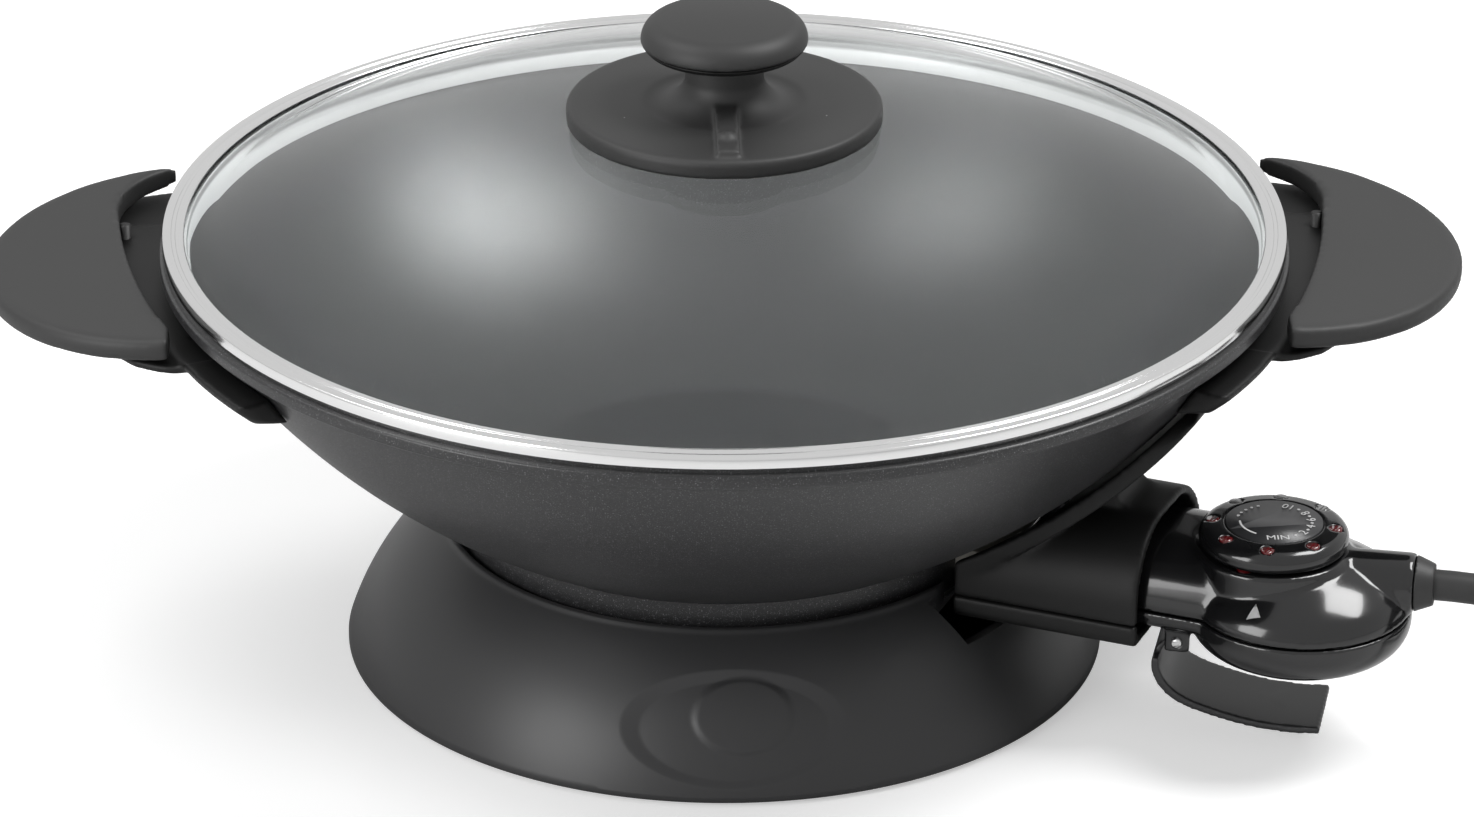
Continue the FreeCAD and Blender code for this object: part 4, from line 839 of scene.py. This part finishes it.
def lay_on_probe(mark):
    """Lays a flat mark from above onto the curved top of the probe."""
    only(mark)
    bpy.ops.object.mode_set(mode="EDIT")
    bpy.ops.mesh.select_all(action="SELECT")
    bpy.ops.mesh.quads_convert_to_tris()
    bpy.ops.mesh.subdivide(number_cuts=3)
    bpy.ops.object.mode_set(mode="OBJECT")
    apply_modifier(mark, "SHRINKWRAP", target=bpy.data.objects["probe_top_shell_finished"],
                   wrap_method="PROJECT", use_project_z=True, use_negative_direction=True,
                   use_positive_direction=False, offset=0.00015)


class WOK_OT_marks(bpy.types.Operator):
    """Numbers, dots and arc on the dial, the pointer beside it and two arrows on the vent dial"""
    bl_idname = "wok.marks"
    bl_label = "Printed marks"

    def execute(self, context):
        low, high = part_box("dial_face")
        centre = ((low[0] + high[0]) / 2, (low[1] + high[1]) / 2)
        top = high[2] + 0.00004

        def spot(degrees, reach):
            angle = math.radians(degrees)
            return centre[0] + reach * math.sin(angle), centre[1] - reach * math.cos(angle)

        for word, degrees in number_bearings:
            turn = math.radians(degrees)
            printed_word("dial_mark_" + word, word, spot(degrees, number_circle), turn, top, "dial")
        for degrees in dot_bearings:
            name = "dial_dot_%03d" % (degrees % 360)
            printed_disc(name, 12, dot_radius, spot(degrees, number_circle), 0.0, top, "dial")
        flat_mark("dial_arc", arc_line(), centre, 0.0, top, "dial")
        pointer = printed_disc("probe_pointer", 3, pointer_radius, spot(pointer_bearing, pointer_distance),
                               math.radians(pointer_bearing), 0.09, "probe")
        lay_on_probe(pointer)
        reach, front, height = arrow_place
        for side, word in ((-1, "left"), (1, "right")):
            printed_disc("vent_arrow_" + word, 3, arrow_radius, (side * reach, front),
                         -side * math.pi / 2, height, "vent")
        return {"FINISHED"}


# Cord, in m

# From the gland down to the table
free_points = (
    (0.22032, -0.08876, 0.0576), (0.23937, -0.09291, 0.0576), (0.2590, -0.0970, 0.0513),
    (0.2757, -0.1001, 0.0390), (0.2893, -0.1022, 0.0225), (0.3058, -0.1042, 0.0106),
    (0.3228, -0.1056, 0.0050), (0.3407, -0.1064, 0.0050))
# From the coil's end to the plug: distance along the way out and height
tail_points = ((0.020, 0.0256), (0.045, 0.0185), (0.062, 0.0185))
points_per_turn = 16


def cord_points(cord):
    """Chosen points of the cord, from its gland down to the table, round the coil and out to the plug."""
    radius = cord.diameter / 2
    free = [Vector(point) for point in free_points]
    heading = (free[-1] - free[-2]).normalized()
    inward = Vector((-heading.y, heading.x, 0.0))
    centre = free[-1] + inward * cord.coil_radius
    start = math.atan2(-inward.y, -inward.x)
    steps = round(points_per_turn * cord.coil_turns)
    rise = cord.diameter * cord.coil_turns
    turns = []
    for index in range(1, steps + 1):
        angle = start + 2 * math.pi * index / points_per_turn
        reach = cord.coil_radius / math.cos(math.pi / points_per_turn) ** 0.5
        height = radius + rise * index / steps
        turns.append(Vector((centre.x + reach * math.cos(angle), centre.y + reach * math.sin(angle), height)))
    leave = start + 2 * math.pi * cord.coil_turns
    ahead = Vector((-math.sin(leave), math.cos(leave), 0.0))
    last = centre + Vector((math.cos(leave), math.sin(leave), 0.0)) * cord.coil_radius
    tail = []
    for distance, height in tail_points:
        tail.append(Vector((last.x, last.y, height)) + ahead * distance)
    return free + turns + tail


class WOK_OT_cord(bpy.types.Operator):
    """Mains cord on one smooth curve, with its put-away turns"""
    bl_idname = "wok.cord"
    bl_label = "Cord"

    def execute(self, context):
        cord = context.scene.wok_cord
        deselect()
        points = cord_points(cord)
        bpy.ops.curve.primitive_nurbs_path_add(location=(0, 0, 0))
        obj = context.object
        obj.name = "mains_cord"
        curve = obj.data
        curve.splines.clear()
        spline = curve.splines.new("NURBS")
        spline.points.add(len(points) - 1)
        for index, point in enumerate(points):
            spline.points[index].co = (point.x, point.y, point.z, 1.0)
        spline.order_u = 3
        spline.use_endpoint_u = True
        spline.resolution_u = 6
        curve.bevel_depth = cord.diameter / 2
        curve.bevel_resolution = 5
        curve.use_fill_caps = True
        curve.materials.append(finishes["cord"])
        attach(obj, "probe")
        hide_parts("power_cord", "power_cord_coil", "power_cord_tail")
        return {"FINISHED"}


class WOK_OT_finishes(bpy.types.Operator):
    """Finishes of all the pieces"""
    bl_idname = "wok.finishes"
    bl_label = "Finishes"

    def execute(self, context):
        finishes.update(make_finishes(context.scene.wok_colours))
        for node in finish_of_node:
            paint_node(node)
        return {"FINISHED"}


class WOK_OT_smooth_pieces(bpy.types.Operator):
    """Smooth copies of the pieces that are neither spun nor remeshed"""
    bl_idname = "wok.smooth_pieces"
    bl_label = "Smooth pieces"

    def execute(self, context):
        for node in finish_of_node:
            if node not in moulded and node not in spun:
                smooth_copy(node, node + "_finished")
        return {"FINISHED"}


# Studio: place, size in m and power in W of each light, the point they aim at, and how bright the floor
# and the surroundings look to the camera and in reflections, or shine on the wok
studio_lights = (
    ("high_right", (0.98, 0.05, 1.55), 0.75, 22.0),
    ("high_left", (-0.9, 0.05, 1.5), 0.7, 9.0),
    ("front_left", (-1.5, -1.2, 0.7), 1.0, 20.0))
light_aim = (0, 0, 0.1)
floor_glow = 0.45
mirrored_glow = 0.75
ambient_glow = 0.25


class WOK_OT_stage(bpy.types.Operator):
    """Pale floor, soft studio light and the camera"""
    bl_idname = "wok.stage"
    bl_label = "Studio"

    def execute(self, context):
        stage = context.scene.wok_stage
        deselect()
        bpy.ops.mesh.primitive_plane_add(size=8.0, location=(0, 1.5, -0.0002))
        floor = context.object
        floor.name = "floor"
        apply_place(floor)
        floor.data.materials.append(floor_material())
        make_world(context.scene)
        for light in studio_lights:
            area_light(*light)
        make_camera(context.scene, stage)
        context.scene.view_settings.view_transform = "Standard"
        return {"FINISHED"}


def floor_material():
    material, tree, shader = new_material("Pale floor", Base_Color=(0.86, 0.86, 0.86, 1.0), Roughness=0.9)
    shader.inputs["Specular IOR Level"].default_value = 0.1
    path = tree.nodes.new("ShaderNodeLightPath")
    seen = math_node(tree, "MULTIPLY", path.outputs["Is Camera Ray"], floor_glow)
    shader.inputs["Emission Color"].default_value = (1.0, 1.0, 1.0, 1.0)
    tree.links.new(seen, shader.inputs["Emission Strength"])
    return material


def make_world(scene):
    world = bpy.data.worlds.new("Studio")
    scene.world = world
    world.use_nodes = True
    tree = world.node_tree
    back = tree.nodes["Background"]
    path = tree.nodes.new("ShaderNodeLightPath")
    seen = math_node(tree, "MAXIMUM", path.outputs["Is Camera Ray"], path.outputs["Is Transmission Ray"])
    gloss = math_node(tree, "MULTIPLY", path.outputs["Is Glossy Ray"], mirrored_glow)
    strength = math_node(tree, "MAXIMUM", math_node(tree, "MAXIMUM", seen, gloss), ambient_glow)
    back.inputs["Color"].default_value = (1.0, 1.0, 1.0, 1.0)
    tree.links.new(strength, back.inputs["Strength"])


def area_light(name, place, size, power):
    bpy.ops.object.light_add(type="AREA", location=place)
    light = bpy.context.object
    light.name = name
    light.data.size = size
    light.data.energy = power
    aim = Vector(light_aim) - Vector(place)
    light.rotation_euler = aim.to_track_quat("-Z", "Y").to_euler()


def make_camera(scene, stage):
    back = Vector((math.sin(stage.azimuth) * math.cos(stage.elevation),
                   -math.cos(stage.azimuth) * math.cos(stage.elevation), math.sin(stage.elevation)))
    place = Vector((0, 0, stage.target_height)) + back * stage.distance
    bpy.ops.object.camera_add(location=place, rotation=(math.pi / 2 - stage.elevation, 0, stage.azimuth))
    camera = bpy.context.object
    camera.name = "studio_camera"
    camera.data.sensor_width = 36.0
    camera.data.lens = stage.lens
    camera.data.shift_x = stage.shift
    camera.data.clip_end = 20.0
    scene.camera = camera


class WOK_PT_panel(bpy.types.Panel):
    """Panel with the wok's settings and steps"""
    bl_idname = "WOK_PT_panel"
    bl_label = "Electric Wok"
    bl_space_type = "VIEW_3D"
    bl_region_type = "UI"
    bl_category = "Wok"

    def draw(self, context):
        layout = self.layout
        for group in ("wok_cord", "wok_colours", "wok_stage"):
            box = layout.box()
            settings = getattr(context.scene, group)
            for key in settings.__annotations__:
                box.prop(settings, key)
        for operator in operators:
            layout.operator(operator.bl_idname)


operators = (WOK_OT_finishes, WOK_OT_stage, WOK_OT_smooth_pieces, WOK_OT_moulded_pieces, WOK_OT_cord,
             WOK_OT_turned_pieces, WOK_OT_marks)
classes = (WokCord, WokColours, WokStage) + operators + (WOK_PT_panel,)


def register():
    for cls in classes:
        bpy.utils.register_class(cls)
    bpy.types.Scene.wok_cord = bpy.props.PointerProperty(type=WokCord)
    bpy.types.Scene.wok_colours = bpy.props.PointerProperty(type=WokColours)
    bpy.types.Scene.wok_stage = bpy.props.PointerProperty(type=WokStage)


def unregister():
    for key in ("wok_cord", "wok_colours", "wok_stage"):
        delattr(bpy.types.Scene, key)
    for cls in reversed(classes):
        bpy.utils.unregister_class(cls)


def main():
    register()
    for operator in operators:
        group, name = operator.bl_idname.split(".")
        getattr(getattr(bpy.ops, group), name)()


if __name__ == "__main__":
    main()
